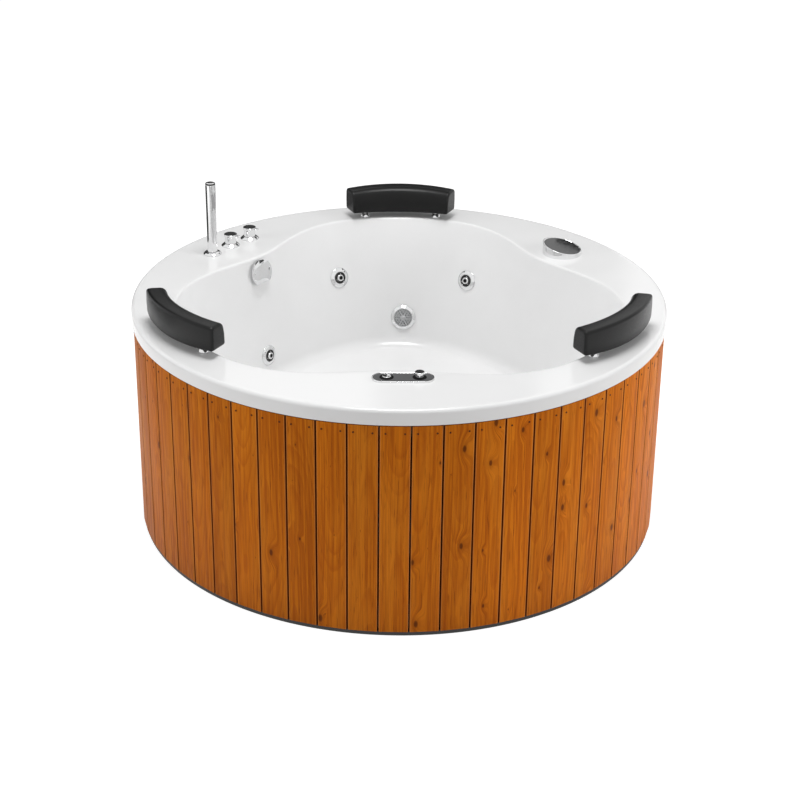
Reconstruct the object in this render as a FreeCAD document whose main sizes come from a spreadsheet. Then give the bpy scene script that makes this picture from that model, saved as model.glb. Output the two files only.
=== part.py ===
import FreeCAD, Part
import math
import os
import Sketcher
from FreeCAD import Placement, Rotation, Vector

# Round jetted tub with a plank skirt. Millimetres, +Z up, origin on the floor under the middle,
# -Y is the front. Angles are in degrees, counted from +X towards +Y.
doc = FreeCAD.newDocument("hot_tub")

# Driving dimensions, one cell each
SIZES = {
    # acrylic shell
    "tub_radius": 800, "deck_height": 700, "lip_height": 45, "lip_round": 22, "shell_wall": 6,
    "narrow_deck": 123, "wide_deck": 260, "deck_edge_round": 8, "lobe_spread": 117,
    "crest_sway": 5.13, "crest_second_sway": 1.94,
    "bowl_depth": 415, "floor_lobe_inset": 235, "floor_bulge_inset": 308, "floor_round": 42,
    "hole_play": 0.3, "running_fit": 0.08, "seat_gap": 0.25,
    # plank skirt
    "plank_count": 58, "plank_gap": 3.5, "plank_thickness": 20, "plank_ease": 2.5, "plank_phase": 2.62,
    "lip_proud": 3, "lip_gap": 0.5, "plinth_height": 13, "plinth_depth": 32, "plinth_setback": 4,
    "hoop_thickness": 24, "hoop_height": 80, "stud_count": 12, "stud_width": 60, "wood_gap": 0.3,
    "nail_radius": 1.5, "nail_head_radius": 2.6, "nail_head_height": 1, "nail_length": 32,
    "nail_drop": 25, "nail_spacing": 52,
    # base frame and feet
    "beam_size": 40, "beam_wall": 2.5, "beam_inset": 70, "beam_clearance": 40,
    "foot_count": 6, "foot_inset": 120, "foot_radius": 28, "foot_height": 16, "foot_stud_radius": 6,
    "foot_stud_reach": 20, "post_size": 40, "post_margin": 75, "board_thickness": 18, "board_margin": 37,
    # headrests
    "headrest_inset": 78, "headrest_back_inset": 92, "headrest_spread": 119.3, "headrest_skew": 7.5,
    "headrest_bend": 390, "headrest_length": 348, "headrest_height": 71, "headrest_depth": 66,
    "headrest_lean": 9, "headrest_lift": 29, "headrest_front_round": 20, "headrest_back_round": 13,
    "headrest_foot_round": 5, "headrest_crown": 5, "headrest_taper": 3,
    "pin_spacing": 236, "pin_radius": 7, "pin_sink": 40, "pin_tail": 30,
    "rosette_radius": 15.5, "rosette_rim": 4, "rosette_neck": 11, "rosette_height": 12,
    # deck fittings for the water
    "fitting_inset": 125, "shower_angle": 151.4, "hot_tap_angle": 143.4, "cold_tap_angle": 136.1,
    "socket_flange_radius": 29, "socket_flange_height": 10, "socket_tail_radius": 17, "socket_tail": 70,
    "shower_spigot_radius": 12, "shower_spigot": 55, "shower_length": 221, "shower_foot_radius": 15.2,
    "shower_head_radius": 15.8, "shower_cap_height": 5, "shower_play": 0.3,
    "spray_width": 15, "spray_height": 60, "spray_drop": 22, "spray_thickness": 4, "spray_turn": -50,
    "tap_flange_radius": 30, "tap_flange_height": 9, "tap_neck_radius": 15, "tap_spindle_radius": 6,
    "tap_spindle": 16, "tap_body_radius": 19, "tap_body": 42, "tap_tail_radius": 10.4, "tap_tail": 24,
    "tap_handle_radius": 18.5, "tap_handle_height": 21, "tap_cap_radius": 20.5, "tap_cap_height": 8,
    "tap_lever": 14.5, "tap_lever_width": 7, "tap_lever_height": 6, "tap_lever_turn": -25,
    "turning_gap": 0.4,
    # filler with its drain dial
    "filler_angle": 146.2, "filler_depth": 50.5, "filler_tube_radius": 24, "filler_tube": 62,
    "filler_flange_radius": 33, "filler_flange_height": 4, "dial_radius": 42.5, "dial_rim": 7,
    "dial_crown": 5, "dial_flat": 33, "dial_gap": 4, "dial_hub_radius": 10, "dial_hub": 34,
    # suction fitting
    "suction_angle": 88.7, "suction_rise": 92, "suction_cover_radius": 41, "suction_cover_height": 9,
    "suction_dish": 5, "suction_hole_radius": 2.6, "grille_first": 12.5, "grille_pitch": 7,
    "grille_rings": 3, "grille_holes": 8, "grille_more": 6, "suction_tube_radius": 31, "suction_tube": 58,
    "suction_tube_wall": 4, "suction_boss_radius": 7, "screw_head_radius": 6, "screw_head_height": 3,
    "screw_radius": 2.5, "screw_length": 30, "suction_pipe_radius": 24, "pipe_bend": 70,
    # massage jets
    "jet_spread": 20.4, "jet_turn": -1.2, "jet_depth": 178, "low_jet_angle": 146.5, "low_jet_rise": 86,
    "jet_ring_radius": 33, "jet_ring_height": 6, "jet_sleeve_radius": 21.5, "jet_bore": 19.5,
    "jet_sleeve": 18, "jet_body_radius": 26, "jet_body": 62, "nozzle_nose_radius": 13,
    "nozzle_proud": 5, "nozzle_length": 16, "nozzle_hole_radius": 6.5, "nozzle_hole_depth": 9,
    "nozzle_hole_offset": 3, "water_spigot_radius": 13, "air_spigot_radius": 7,
    # pipes round the bowl
    "water_ring_inset": 150, "water_ring_depth": 245, "water_ring_radius": 20,
    "air_ring_inset": 128, "air_ring_depth": 140, "air_ring_radius": 10, "saddle_gap": 0.3,
    # front control plate
    "plate_angle": 271.2, "plate_inset": 200, "plate_length": 172, "plate_width": 60, "plate_height": 5,
    "control_spacing": 90, "button_radius": 12.5, "button_height": 12, "button_proud": 5,
    "button_travel": 4, "button_body_radius": 19, "button_body": 42, "knob_radius": 12.5, "knob_base": 8,
    "knob_top_radius": 14, "knob_top": 8, "knob_shaft_radius": 5, "knob_shaft": 24,
    "air_valve_radius": 18, "air_valve": 48,
    # round control panel
    "panel_angle": 35.5, "panel_inset": 166, "panel_radius": 62, "panel_low": 10, "panel_tilt": 12,
    "panel_turn": 165, "panel_rim": 4, "panel_glass": 4, "panel_shank_radius": 26, "panel_shank": 40,
    # drain
    "drain_angle": 120, "drain_circle": 220, "drain_flange_radius": 38, "drain_flange_height": 4,
    "drain_throat": 23, "drain_tail_radius": 26, "drain_tail": 44, "drain_bar_width": 8,
    "drain_bar_height": 6, "drain_bar_rise": 12, "plug_radius": 31, "plug_height": 6,
    "plug_stem_radius": 4, "plug_stem": 50,
    "trap_radius": 36, "trap_wall": 4, "trap_depth": 96, "outlet_radius": 20, "outlet_wall": 3,
    "outlet_length": 60, "overflow_radius": 12, "overflow_bend": 38, "overflow_shift": 8.5,
    # pump and electrics
    "pump_angle": 40, "wet_end_radius": 82, "wet_end_length": 78, "motor_radius": 72,
    "motor_length": 225, "bracket_length": 210, "bracket_width": 130,
    "bracket_height": 10, "bracket_lift": 34, "discharge_radius": 20,
    "box_length": 260, "box_depth": 72, "box_height": 170, "box_drop": 290,
    "gland_radius": 12, "gland_length": 22, "gland_bore": 4.5,
}

sheet = doc.addObject("Spreadsheet::Sheet", "Sizes")
for row, (alias, number) in enumerate(SIZES.items(), start=1):
    sheet.set(f"A{row}", alias)
    sheet.set(f"B{row}", str(number))
    sheet.setAlias(f"B{row}", alias)
doc.recompute()


def amount(text):
    """Number of a sum of sheet aliases, such as "shell_wall + hole_play"."""
    total = 0.0
    for term in text.replace("-", "+-").split("+"):
        term = term.strip()
        if term:
            sign = -1 if term.startswith("-") else 1
            total += sign * float(sheet.get(term.lstrip("- ")))
    return total


def cells(text):
    """The same sum as an expression on the sheet."""
    return " ".join(word if word in "+-" else f"Sizes.{word}" for word in text.split())


def at(x, y, z, rotation=None):
    return Placement(Vector(x, y, z), rotation or Rotation())


def polar(radius, angle, z):
    turn = math.radians(angle)
    return Vector(radius * math.cos(turn), radius * math.sin(turn), z)


SUB_PARTS = []


def sub_part(obj, label):
    """Names an object as one of the pieces that are written out."""
    obj.Label = label
    SUB_PARTS.append(obj)
    return obj


def turned(name, profile):
    """Body of revolution about its own Z axis. The profile is a closed chain of (radius, height)
    pairs, each a sum of aliases, or None on the axis or on the base plane."""
    body = doc.addObject("PartDesign::Body", name)
    plane = [item for item in body.Origin.OriginFeatures if item.Role == "XZ_Plane"][0]
    sketch = body.newObject("Sketcher::SketchObject", name + "_profile")
    sketch.AttachmentSupport = [(plane, "")]
    sketch.MapMode = "FlatFace"
    points = [Vector(amount(r) if r else 0, amount(z) if z else 0, 0) for r, z in profile]
    count = len(points)
    for index in range(count):
        sketch.addGeometry(Part.LineSegment(points[index], points[(index + 1) % count]))
    for index in range(count):
        sketch.addConstraint(Sketcher.Constraint("Coincident", index, 2, (index + 1) % count, 1))
    axes = {"DistanceX": -2, "DistanceY": -1}
    for index, (radius, height) in enumerate(profile):
        spot = points[index]
        for kind, text, place in (("DistanceX", radius, spot.x), ("DistanceY", height, spot.y)):
            if text is None:
                sketch.addConstraint(Sketcher.Constraint("PointOnObject", index, 1, axes[kind]))
            else:
                number = sketch.addConstraint(Sketcher.Constraint(kind, -1, 1, index, 1, place))
                sketch.setExpression(f"Constraints[{number}]", cells(text))
    spin = body.newObject("PartDesign::Revolution", name + "_spin")
    spin.Profile = sketch
    spin.ReferenceAxis = (sketch, ["V_Axis"])
    spin.Angle = 360
    body.Tip = spin
    return body


def cylinder(name, radius, height, placement=None):
    obj = doc.addObject("Part::Cylinder", name)
    obj.setExpression("Radius", cells(radius))
    obj.setExpression("Height", cells(height))
    obj.Placement = placement or Placement()
    return obj


def block(name, length, width, height, placement=None):
    obj = doc.addObject("Part::Box", name)
    obj.setExpression("Length", cells(length))
    obj.setExpression("Width", cells(width))
    obj.setExpression("Height", cells(height))
    obj.Placement = placement or Placement()
    return obj


def torus(name, ring, tube, placement):
    obj = doc.addObject("Part::Torus", name)
    obj.setExpression("Radius1", cells(ring))
    obj.setExpression("Radius2", cells(tube))
    obj.Placement = placement
    return obj


def cut(name, base, tool):
    obj = doc.addObject("Part::Cut", name)
    obj.Base = base
    obj.Tool = tool
    return obj


def fuse(name, pieces):
    obj = doc.addObject("Part::MultiFuse", name)
    obj.Shapes = pieces
    return obj


def feature(name, shape, placement=None):
    obj = doc.addObject("Part::Feature", name)
    obj.Shape = shape
    if placement:
        obj.Placement = placement
    return obj


def placed(shape, placement):
    copy = shape.copy()
    copy.Placement = placement.multiply(copy.Placement)
    return copy


def group(name, template, placements):
    """Several like solids in one piece."""
    doc.recompute()
    return feature(name, Part.makeCompound([placed(template.Shape, place) for place in placements]))


def rod(start, end, radius):
    return Part.makeCylinder(radius, (end - start).Length, start, end - start)


def bent_pipe(points, radius, bend):
    """Solid round pipe along straight runs joined by tangent arcs."""
    edges = []
    begin = points[0]
    for index in range(1, len(points) - 1):
        corner = points[index]
        back = (points[index - 1] - corner).normalize()
        ahead = (points[index + 1] - corner).normalize()
        half = back.getAngle(ahead) / 2
        reach = bend / math.tan(half)
        middle = corner + (back + ahead).normalize() * (bend / math.sin(half) - bend)
        edges.append(Part.LineSegment(begin, corner + back * reach).toShape())
        edges.append(Part.Arc(corner + back * reach, middle, corner + ahead * reach).toShape())
        begin = corner + ahead * reach
    edges.append(Part.LineSegment(begin, points[-1]).toShape())
    path = Part.Wire(edges)
    section = Part.Wire(Part.makeCircle(radius, points[0], points[1] - points[0]))
    return path.makePipeShell([section], True, True)


# Heights that the pieces share
deck = amount("deck_height")
wall = amount("shell_wall")
under_deck = deck - wall
floor_top = amount("deck_height - bowl_depth")
beam_top = amount("beam_clearance + beam_size")
lobe_angles = (90, 90 + amount("lobe_spread"), 90 - amount("lobe_spread"))
bulge_angles = (30, 150, 270)


# Bowl: three wide places in the deck and three lobes between them, with straight leaning walls.
# The two rear wide places stand a little nearer the back than even thirds would put them.
# A leaning wall is a little thicker across than square to its face.
LEAN = 1.04


def bulge_share(angle):
    turn = angle - bulge_angles[-1]
    sway = amount("crest_sway") * math.sin(math.radians(turn))
    sway -= amount("crest_second_sway") * math.sin(math.radians(2 * turn))
    return (1 + math.cos(math.radians(3 * (turn - sway)))) / 2


def deck_edge(angle):
    swing = amount("wide_deck - narrow_deck")
    return amount("tub_radius - narrow_deck") - swing * bulge_share(angle) ** 2


def floor_edge(angle):
    swing = amount("floor_bulge_inset - floor_lobe_inset")
    return amount("tub_radius - floor_lobe_inset") - swing * bulge_share(angle)


def wall_radius(angle, depth):
    share = depth / amount("bowl_depth")
    return deck_edge(angle) + share * (floor_edge(angle) - deck_edge(angle))


def wall_point(angle, depth):
    return polar(wall_radius(angle, depth), angle, deck - depth)


def wall_place(angle, depth):
    """Placement on the water side of the wall: Z into the bowl, X level along the wall."""
    small = 0.05
    along = wall_point(angle + small, depth) - wall_point(angle - small, depth)
    down = wall_point(angle, depth + small) - wall_point(angle, depth - small)
    inward = down.cross(along).normalize()
    if inward.dot(wall_point(angle, depth)) > 0:
        inward = inward * -1
    level = Vector(0, 0, 1).cross(inward).normalize()
    return Placement(wall_point(angle, depth), Rotation(level, inward.cross(level), inward, "ZXY"))


def wall_rise(angle, depth, radius):
    """Highest and lowest stand of the wall over the tangent plane, on a circle of that radius."""
    place = wall_place(angle, depth)
    rises = []
    for step in range(0, 360, 15):
        spot = place.multVec(polar(radius, step, 0))
        spot_angle = math.degrees(math.atan2(spot.y, spot.x))
        gap = math.hypot(spot.x, spot.y) - wall_radius(spot_angle, deck - spot.z)
        rises.append(gap)
    return max(0, max(rises)), min(0, min(rises))


def wall_seat(angle, depth, radius):
    """Placement of a flange that just clears the wall all round."""
    rise = wall_rise(angle, depth, radius)[0] + amount("seat_gap")
    return wall_place(angle, depth).multiply(at(0, 0, rise)), rise


def wall_back(angle, depth, radius):
    """Distance from the wall's water side to a flat face that just clears its back."""
    return wall * LEAN + amount("seat_gap") - wall_rise(angle, depth, radius)[1]


def bowl_wire(grow, depth):
    steps = 36
    angles = [360 / steps * step for step in range(steps)]
    points = [polar(wall_radius(angle, depth) + grow, angle, deck - depth) for angle in angles]
    curve = Part.BSplineCurve()
    curve.interpolate(Points=points, PeriodicFlag=True)
    return Part.Wire(curve.toShape())


def bowl_solid(grow, top_depth, bottom_depth):
    return Part.makeLoft([bowl_wire(grow, top_depth), bowl_wire(grow, bottom_depth)], True, True)


def deck_cap(inset, height, top):
    """Round lid with a rounded outer edge."""
    radius = amount("tub_radius") - inset
    lid = Part.makeCylinder(radius, height, Vector(0, 0, top - height))
    rim = [edge for edge in lid.Edges
           if isinstance(edge.Curve, Part.Circle) and edge.CenterOfMass.z > top - height / 2]
    return lid.makeFillet(amount("lip_round") - inset, rim)


def edge_at(shape, height):
    """The bowl's outline edge at one height."""
    near = 0.01
    return [edge for edge in shape.Edges
            if isinstance(edge.Curve, Part.BSplineCurve)
            and abs(edge.BoundBox.ZMin - height) < near and abs(edge.BoundBox.ZMax - height) < near]


lip = amount("lip_height")
bowl_depth = amount("bowl_depth")
lid = deck_cap(0, lip, deck).cut(deck_cap(wall, lip - wall, under_deck))
outside = bowl_solid(wall * LEAN, wall / 2, bowl_depth + wall)
water = bowl_solid(0, -lip, bowl_depth)
shell = lid.fuse(outside).removeSplitter().cut(water)
shell = shell.makeFillet(amount("floor_round"), edge_at(shell, floor_top))
shell = shell.makeFillet(amount("deck_edge_round"), edge_at(shell, deck))

jet_places = [(lobe + amount("jet_turn") + side * amount("jet_spread"), amount("jet_depth"))
              for lobe in lobe_angles for side in (1, -1)]
jet_places.append((amount("low_jet_angle"), amount("bowl_depth - low_jet_rise")))
filler_where = (amount("filler_angle"), amount("filler_depth"))
suction_where = (amount("suction_angle"), amount("bowl_depth - suction_rise"))
drain_spot = polar(amount("drain_circle"), amount("drain_angle"), floor_top)
fitting_radius = amount("tub_radius - fitting_inset")
shower_spot = polar(fitting_radius, amount("shower_angle"), deck)
tap_spots = {"hot": polar(fitting_radius, amount("hot_tap_angle"), deck),
             "cold": polar(fitting_radius, amount("cold_tap_angle"), deck)}
plate_spot = polar(amount("tub_radius - plate_inset"), amount("plate_angle"), deck)
plate_turn = Rotation(Vector(0, 0, 1), amount("plate_angle") + 90)
plate_place = Placement(plate_spot, plate_turn)
half_spacing = amount("control_spacing") / 2
button_spot = plate_place.multVec(Vector(-half_spacing, 0, 0))
knob_spot = plate_place.multVec(Vector(half_spacing, 0, 0))
panel_spot = polar(amount("tub_radius - panel_inset"), amount("panel_angle"), deck)
headrest_bend = amount("headrest_bend")
headrest_places = {}
for side_name, side in (("back", 0), ("left", 1), ("right", -1)):
    seat_angle = 90 + side * amount("headrest_spread")
    facing = Rotation(Vector(0, 0, 1), seat_angle + side * amount("headrest_skew"))
    inset = "headrest_inset" if side else "headrest_back_inset"
    seat_spot = polar(amount("tub_radius - " + inset), seat_angle, deck)
    headrest_places[side_name] = Placement(seat_spot - facing.multVec(Vector(headrest_bend, 0, 0)), facing)
pin_swing = math.degrees(math.asin(amount("pin_spacing") / 2 / headrest_bend))
pin_spots = [place.multVec(polar(headrest_bend, side * pin_swing, 0))
             for place in headrest_places.values() for side in (1, -1)]

# Half length of the drills that open the shell for its fittings
drill_reach = 40


def wall_hole(angle, depth, radius):
    hole = Part.makeCylinder(radius, 2 * drill_reach, Vector(0, 0, -drill_reach))
    return placed(hole, wall_place(angle, depth))


def level_hole(spot, radius):
    return Part.makeCylinder(radius, 2 * drill_reach, spot - Vector(0, 0, drill_reach))


play = amount("hole_play")
holes = [wall_hole(angle, depth, amount("jet_sleeve_radius") + play) for angle, depth in jet_places]
holes.append(wall_hole(*filler_where, amount("filler_tube_radius") + play))
holes.append(wall_hole(*suction_where, amount("suction_tube_radius") + play))
holes.append(level_hole(drain_spot, amount("drain_tail_radius") + play))
holes.append(level_hole(shower_spot, amount("socket_tail_radius") + play))
holes += [level_hole(spot, amount("tap_neck_radius") + play) for spot in tap_spots.values()]
holes.append(level_hole(button_spot, amount("button_body_radius") + play))
holes.append(level_hole(knob_spot, amount("air_valve_radius") + play))
holes.append(level_hole(panel_spot, amount("panel_shank_radius") + play))
holes += [level_hole(spot, amount("pin_radius") + play) for spot in pin_spots]
shell = shell.cut(Part.makeCompound(holes))
sub_part(feature("shell", shell), "tub_shell")


# Plank skirt: flat boards with eased edges, each a prism standing on the plinth
plank_face = amount("tub_radius - lip_proud")
plank_step = 360 / amount("plank_count")
plank_top = amount("deck_height - lip_height - lip_gap")
plank_height = plank_top - amount("plinth_height")
half_step = math.radians(plank_step / 2)
ease = amount("plank_ease")
front_half = plank_face * math.sin(half_step) - amount("plank_gap") / 2
board_face = math.sqrt(plank_face ** 2 - front_half ** 2)
board_back = board_face - amount("plank_thickness")
back_half = board_back * math.tan(half_step) - amount("plank_gap") / 2
section = [(board_back, -back_half), (board_face - ease, -front_half), (board_face, ease - front_half),
           (board_face, front_half - ease), (board_face - ease, front_half), (board_back, back_half)]
corners = [Vector(x, y, amount("plinth_height")) for x, y in section]
board = Part.Face(Part.makePolygon(corners + corners[:1])).extrude(Vector(0, 0, plank_height))
nail_height = plank_top - amount("nail_drop")
nail_row = [Vector(board_face, side * amount("nail_spacing") / 2, nail_height) for side in (-1, 1)]
nail_reach = Vector(amount("nail_length"), 0, 0)
nail_room = amount("nail_radius + hole_play")
nail_holes = [rod(spot + nail_reach, spot - nail_reach, nail_room) for spot in nail_row]
board = board.cut(Part.makeCompound(nail_holes))
first_plank = bulge_angles[-1] + amount("plank_phase") + plank_step / 2
plank_turns = [first_plank + plank_step * step for step in range(round(amount("plank_count")))]
plank_places = [Placement(Vector(), Rotation(Vector(0, 0, 1), turn)) for turn in plank_turns]
half_count = len(plank_places) // 2
quarter = half_count // 2
front_planks = plank_places[-quarter:] + plank_places[:half_count - quarter]
back_planks = plank_places[half_count - quarter:-quarter]
sub_part(feature("front_boards", Part.makeCompound([placed(board, place) for place in front_planks])),
         "skirt_planks_front")
sub_part(feature("back_boards", Part.makeCompound([placed(board, place) for place in back_planks])),
         "skirt_planks_back")

# Nails hold the planks to the upper hoop, two in each plank
nail = turned("nail", [(None, None), ("nail_radius", None), ("nail_radius", "nail_length"),
                       ("nail_head_radius", "nail_length"),
                       ("nail_head_radius", "nail_length + nail_head_height"),
                       (None, "nail_length + nail_head_height")])
nail_places = [place.multiply(Placement(spot - nail_reach, Rotation(Vector(0, 1, 0), 90)))
               for place in plank_places for spot in nail_row]
sub_part(group("nails", nail, nail_places), "plank_nails")

# Plinth, hoops and studs that carry the planks and the rim
plinth_outer = cylinder("plinth_outer", "tub_radius - lip_proud - plinth_setback", "plinth_height")
plinth_inner = cylinder("plinth_inner", "tub_radius - lip_proud - plinth_setback - plinth_depth",
                        "plinth_height")
sub_part(cut("plinth", plinth_outer, plinth_inner), "base_plinth")

hoop_radius = board_back - amount("wood_gap")
hoop_bore = hoop_radius - amount("hoop_thickness")
hoop_height = amount("hoop_height")


def hoop(base):
    ring = Part.makeCylinder(hoop_radius, hoop_height, Vector(0, 0, base))
    return ring.cut(Part.makeCylinder(hoop_bore, hoop_height, Vector(0, 0, base)))


upper_base = under_deck - hoop_height
lower_top = amount("plinth_height") + hoop_height
pilot = Part.makeCompound([placed(rod(spot, spot - nail_reach * 2, nail_room), place)
                           for place in plank_places for spot in nail_row])
sub_part(feature("top_hoop", hoop(upper_base).cut(pilot)), "upper_hoop")
sub_part(feature("bottom_hoop", hoop(amount("plinth_height"))), "lower_hoop")
stud_width = amount("stud_width")
stud_face = math.sqrt(hoop_radius ** 2 - (stud_width / 2) ** 2)
stud_depth = stud_face - hoop_bore
stud = Part.makeBox(stud_depth, stud_width, upper_base - lower_top,
                    Vector(hoop_bore, -stud_width / 2, lower_top))
stud_step = 360 / amount("stud_count")
stud_places = [Placement(Vector(), Rotation(Vector(0, 0, 1), bulge_angles[-1] + stud_step * step))
               for step in range(round(amount("stud_count")))]
sub_part(feature("uprights", Part.makeCompound([placed(stud, place) for place in stud_places])),
         "skirt_studs")

# Welded base frame: three hollow beams crossing under the bowl, with short posts to the floor board
beam_half = amount("tub_radius - beam_inset")
beam_size = amount("beam_size")
beam_wall = amount("beam_wall")
foot_circle = amount("tub_radius - foot_inset")


def beam(size, half_length, base):
    return Part.makeBox(2 * half_length, size, size, Vector(-half_length, -size / 2, base))


def star(solid):
    turns = [Rotation(Vector(0, 0, 1), angle) for angle in bulge_angles]
    copies = [placed(solid, Placement(Vector(), turn)) for turn in turns]
    return copies[0].fuse(copies[1:])


board_base = floor_top - wall - amount("board_thickness")
foot_count = round(amount("foot_count"))
foot_angles = [bulge_angles[0] + 360 / foot_count * step for step in range(foot_count)]
foot_spots = [polar(foot_circle, angle, 0) for angle in foot_angles]
board_size = "tub_radius - floor_bulge_inset - board_margin"
post_size = amount("post_size")
post = Part.makeBox(post_size, post_size, board_base - beam_top + beam_wall,
                    Vector(amount(board_size + " - post_margin") - post_size / 2, -post_size / 2,
                           beam_top - beam_wall))
posts = [placed(post, Placement(Vector(), Rotation(Vector(0, 0, 1), angle))) for angle in foot_angles]
hollow = star(beam(beam_size - 2 * beam_wall, beam_half, amount("beam_clearance") + beam_wall))
foot_bores = [level_hole(spot + Vector(0, 0, amount("foot_height")), amount("foot_stud_radius") + play)
              for spot in foot_spots]
frame = star(beam(beam_size, beam_half, amount("beam_clearance"))).cut(hollow)
frame = frame.fuse(posts).cut(Part.makeCompound(foot_bores))
sub_part(feature("welded_frame", frame), "base_frame")
foot = cylinder("foot_blank", "foot_radius", "foot_height")
sub_part(group("feet", foot, [Placement(spot, Rotation()) for spot in foot_spots]), "levelling_feet")
foot_stud = turned("foot_stud", [
    (None, None), ("foot_stud_radius", None),
    ("foot_stud_radius", "beam_clearance - foot_height - foot_stud_radius"),
    ("foot_stud_radius + foot_stud_radius", "beam_clearance - foot_height - foot_stud_radius"),
    ("foot_stud_radius + foot_stud_radius", "beam_clearance - foot_height"),
    ("foot_stud_radius", "beam_clearance - foot_height"),
    ("foot_stud_radius", "beam_clearance - foot_height + foot_stud_reach"),
    (None, "beam_clearance - foot_height + foot_stud_reach")])
stud_base = Vector(0, 0, amount("foot_height"))
sub_part(group("foot_bolts", foot_stud, [Placement(spot + stud_base, Rotation()) for spot in foot_spots]),
         "foot_studs")
board_disc = cylinder("board_disc", board_size, "board_thickness", at(0, 0, board_base))
board_hole = cylinder("board_hole", "drain_tail_radius + hole_play", "board_thickness",
                      at(drain_spot.x, drain_spot.y, board_base))
sub_part(cut("underlay", board_disc, board_hole), "floor_board")

# Headrests: moulded cushions, bowed in plan, crowned along the top, with a leaning front and eased ends
headrest_lift = amount("headrest_lift")
headrest_swing = math.degrees(amount("headrest_length") / 2 / headrest_bend)
HEADREST_STATIONS = (-1, -0.97, -0.5, 0, 0.5, 0.97, 1)


def headrest_section(station):
    """Rounded outline of the cushion across its length: lines joined by quarter arcs."""
    taper = amount("headrest_taper") if abs(station) == 1 else 0
    crown = amount("headrest_crown") * (1 - station ** 2)
    low = taper
    high = amount("headrest_height - headrest_crown") + crown - taper
    half = amount("headrest_depth") / 2 - taper
    front_high = amount("headrest_lean") - half
    foot_round = amount("headrest_foot_round")
    turn = Rotation(Vector(0, 0, 1), station * headrest_swing)
    place = Placement(Vector(0, 0, headrest_lift), turn)
    corners = [(half, low, 1, 1, foot_round), (half, high, 1, -1, amount("headrest_back_round")),
               (front_high, high, -1, -1, amount("headrest_front_round")), (-half, low, -1, 1, foot_round)]
    slant = 1 - math.sqrt(0.5)
    edges = []
    last = None
    first = None
    for index, (across, up, out, lift, bend) in enumerate(corners):
        beside = Vector(headrest_bend + across - out * bend, 0, up)
        above = Vector(headrest_bend + across, 0, up + lift * bend)
        middle = Vector(headrest_bend + across - out * bend * slant, 0, up + lift * bend * slant)
        start, end = (beside, above) if index % 2 == 0 else (above, beside)
        start, middle, end = [place.multVec(point) for point in (start, middle, end)]
        if last is not None:
            edges.append(Part.LineSegment(last, start).toShape())
        else:
            first = start
        edges.append(Part.Arc(start, middle, end).toShape())
        last = end
    edges.append(Part.LineSegment(last, first).toShape())
    return Part.Wire(edges)


cushion = Part.makeLoft([headrest_section(station) for station in HEADREST_STATIONS], True, False)
pin_mouth = headrest_lift - amount("pin_radius")
pin_bores = [Part.makeCylinder(amount("pin_radius + running_fit"), amount("pin_sink"),
                               polar(headrest_bend, side * pin_swing, pin_mouth))
             for side in (-1, 1)]
cushion = cushion.cut(Part.makeCompound(pin_bores))
for side_name, cushion_place in headrest_places.items():
    sub_part(feature("cushion_" + side_name, placed(cushion, cushion_place)), "headrest_" + side_name)
pin = cylinder("pin_blank", "pin_radius", "pin_tail + shell_wall + headrest_lift + pin_sink - pin_radius")
pin_base = Vector(0, 0, amount("pin_tail + shell_wall"))
sub_part(group("pins", pin, [Placement(spot - pin_base, Rotation()) for spot in pin_spots]),
         "headrest_pins")
rosette = turned("rosette", [
    ("pin_radius + running_fit", None), ("rosette_radius", None), ("rosette_radius", "rosette_rim"),
    ("rosette_neck", "rosette_height"), ("pin_radius + running_fit", "rosette_height")])
sub_part(group("rosettes", rosette, [Placement(spot, Rotation()) for spot in pin_spots]),
         "headrest_rosettes")

# Hand shower standing in a deck socket
socket = turned("socket", [
    ("shower_spigot_radius + running_fit", None), ("socket_tail_radius", None),
    ("socket_tail_radius", "socket_tail"), ("socket_flange_radius", "socket_tail"),
    ("socket_flange_radius", "socket_tail + socket_flange_height - shell_wall"),
    ("socket_tail_radius", "socket_tail + socket_flange_height"),
    ("shower_spigot_radius + running_fit", "socket_tail + socket_flange_height")])
socket.Placement = Placement(shower_spot - Vector(0, 0, amount("socket_tail")), Rotation())
sub_part(socket, "shower_socket")
shower_height = "shower_spigot + shower_length"
stick = turned("stick", [
    (None, None), ("shower_spigot_radius", None), ("shower_spigot_radius", "shower_spigot"),
    ("shower_foot_radius", "shower_spigot"), ("shower_head_radius", shower_height), (None, shower_height)])
shower_base = deck + amount("socket_flange_height + shower_play - shower_spigot")
shower_turn = Rotation(Vector(0, 0, 1), amount("spray_turn"))
shower_place = at(shower_spot.x, shower_spot.y, shower_base, shower_turn)
stick.Placement = shower_place
spray_base = amount(shower_height + " - spray_drop - spray_height")
spray_front = Vector(amount("shower_foot_radius - spray_thickness"), -amount("spray_width") / 2, spray_base)
window = block("spray_window", "shower_head_radius", "spray_width", "spray_height",
               shower_place.multiply(Placement(spray_front, Rotation())))
sub_part(cut("stick_with_window", stick, window), "hand_shower")
spray_play = Vector(0, amount("running_fit"), amount("running_fit"))
spray_blank = block("spray_blank", "shower_head_radius", "spray_width - running_fit - running_fit",
                    "spray_height - running_fit - running_fit",
                    shower_place.multiply(Placement(spray_front + spray_play, Rotation())))
spray_round = cylinder("spray_round", "shower_head_radius", shower_height, shower_place)
spray = doc.addObject("Part::Common", "spray")
spray.Base = spray_blank
spray.Tool = spray_round
sub_part(spray, "shower_spray_face")
cap = turned("cap", [
    (None, None), ("shower_head_radius", None), ("shower_head_radius", "shower_cap_height - running_fit"),
    ("shower_spigot_radius", "shower_cap_height"), (None, "shower_cap_height")])
cap.Placement = at(shower_spot.x, shower_spot.y, shower_base + amount(shower_height))
sub_part(cap, "shower_cap")

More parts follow.
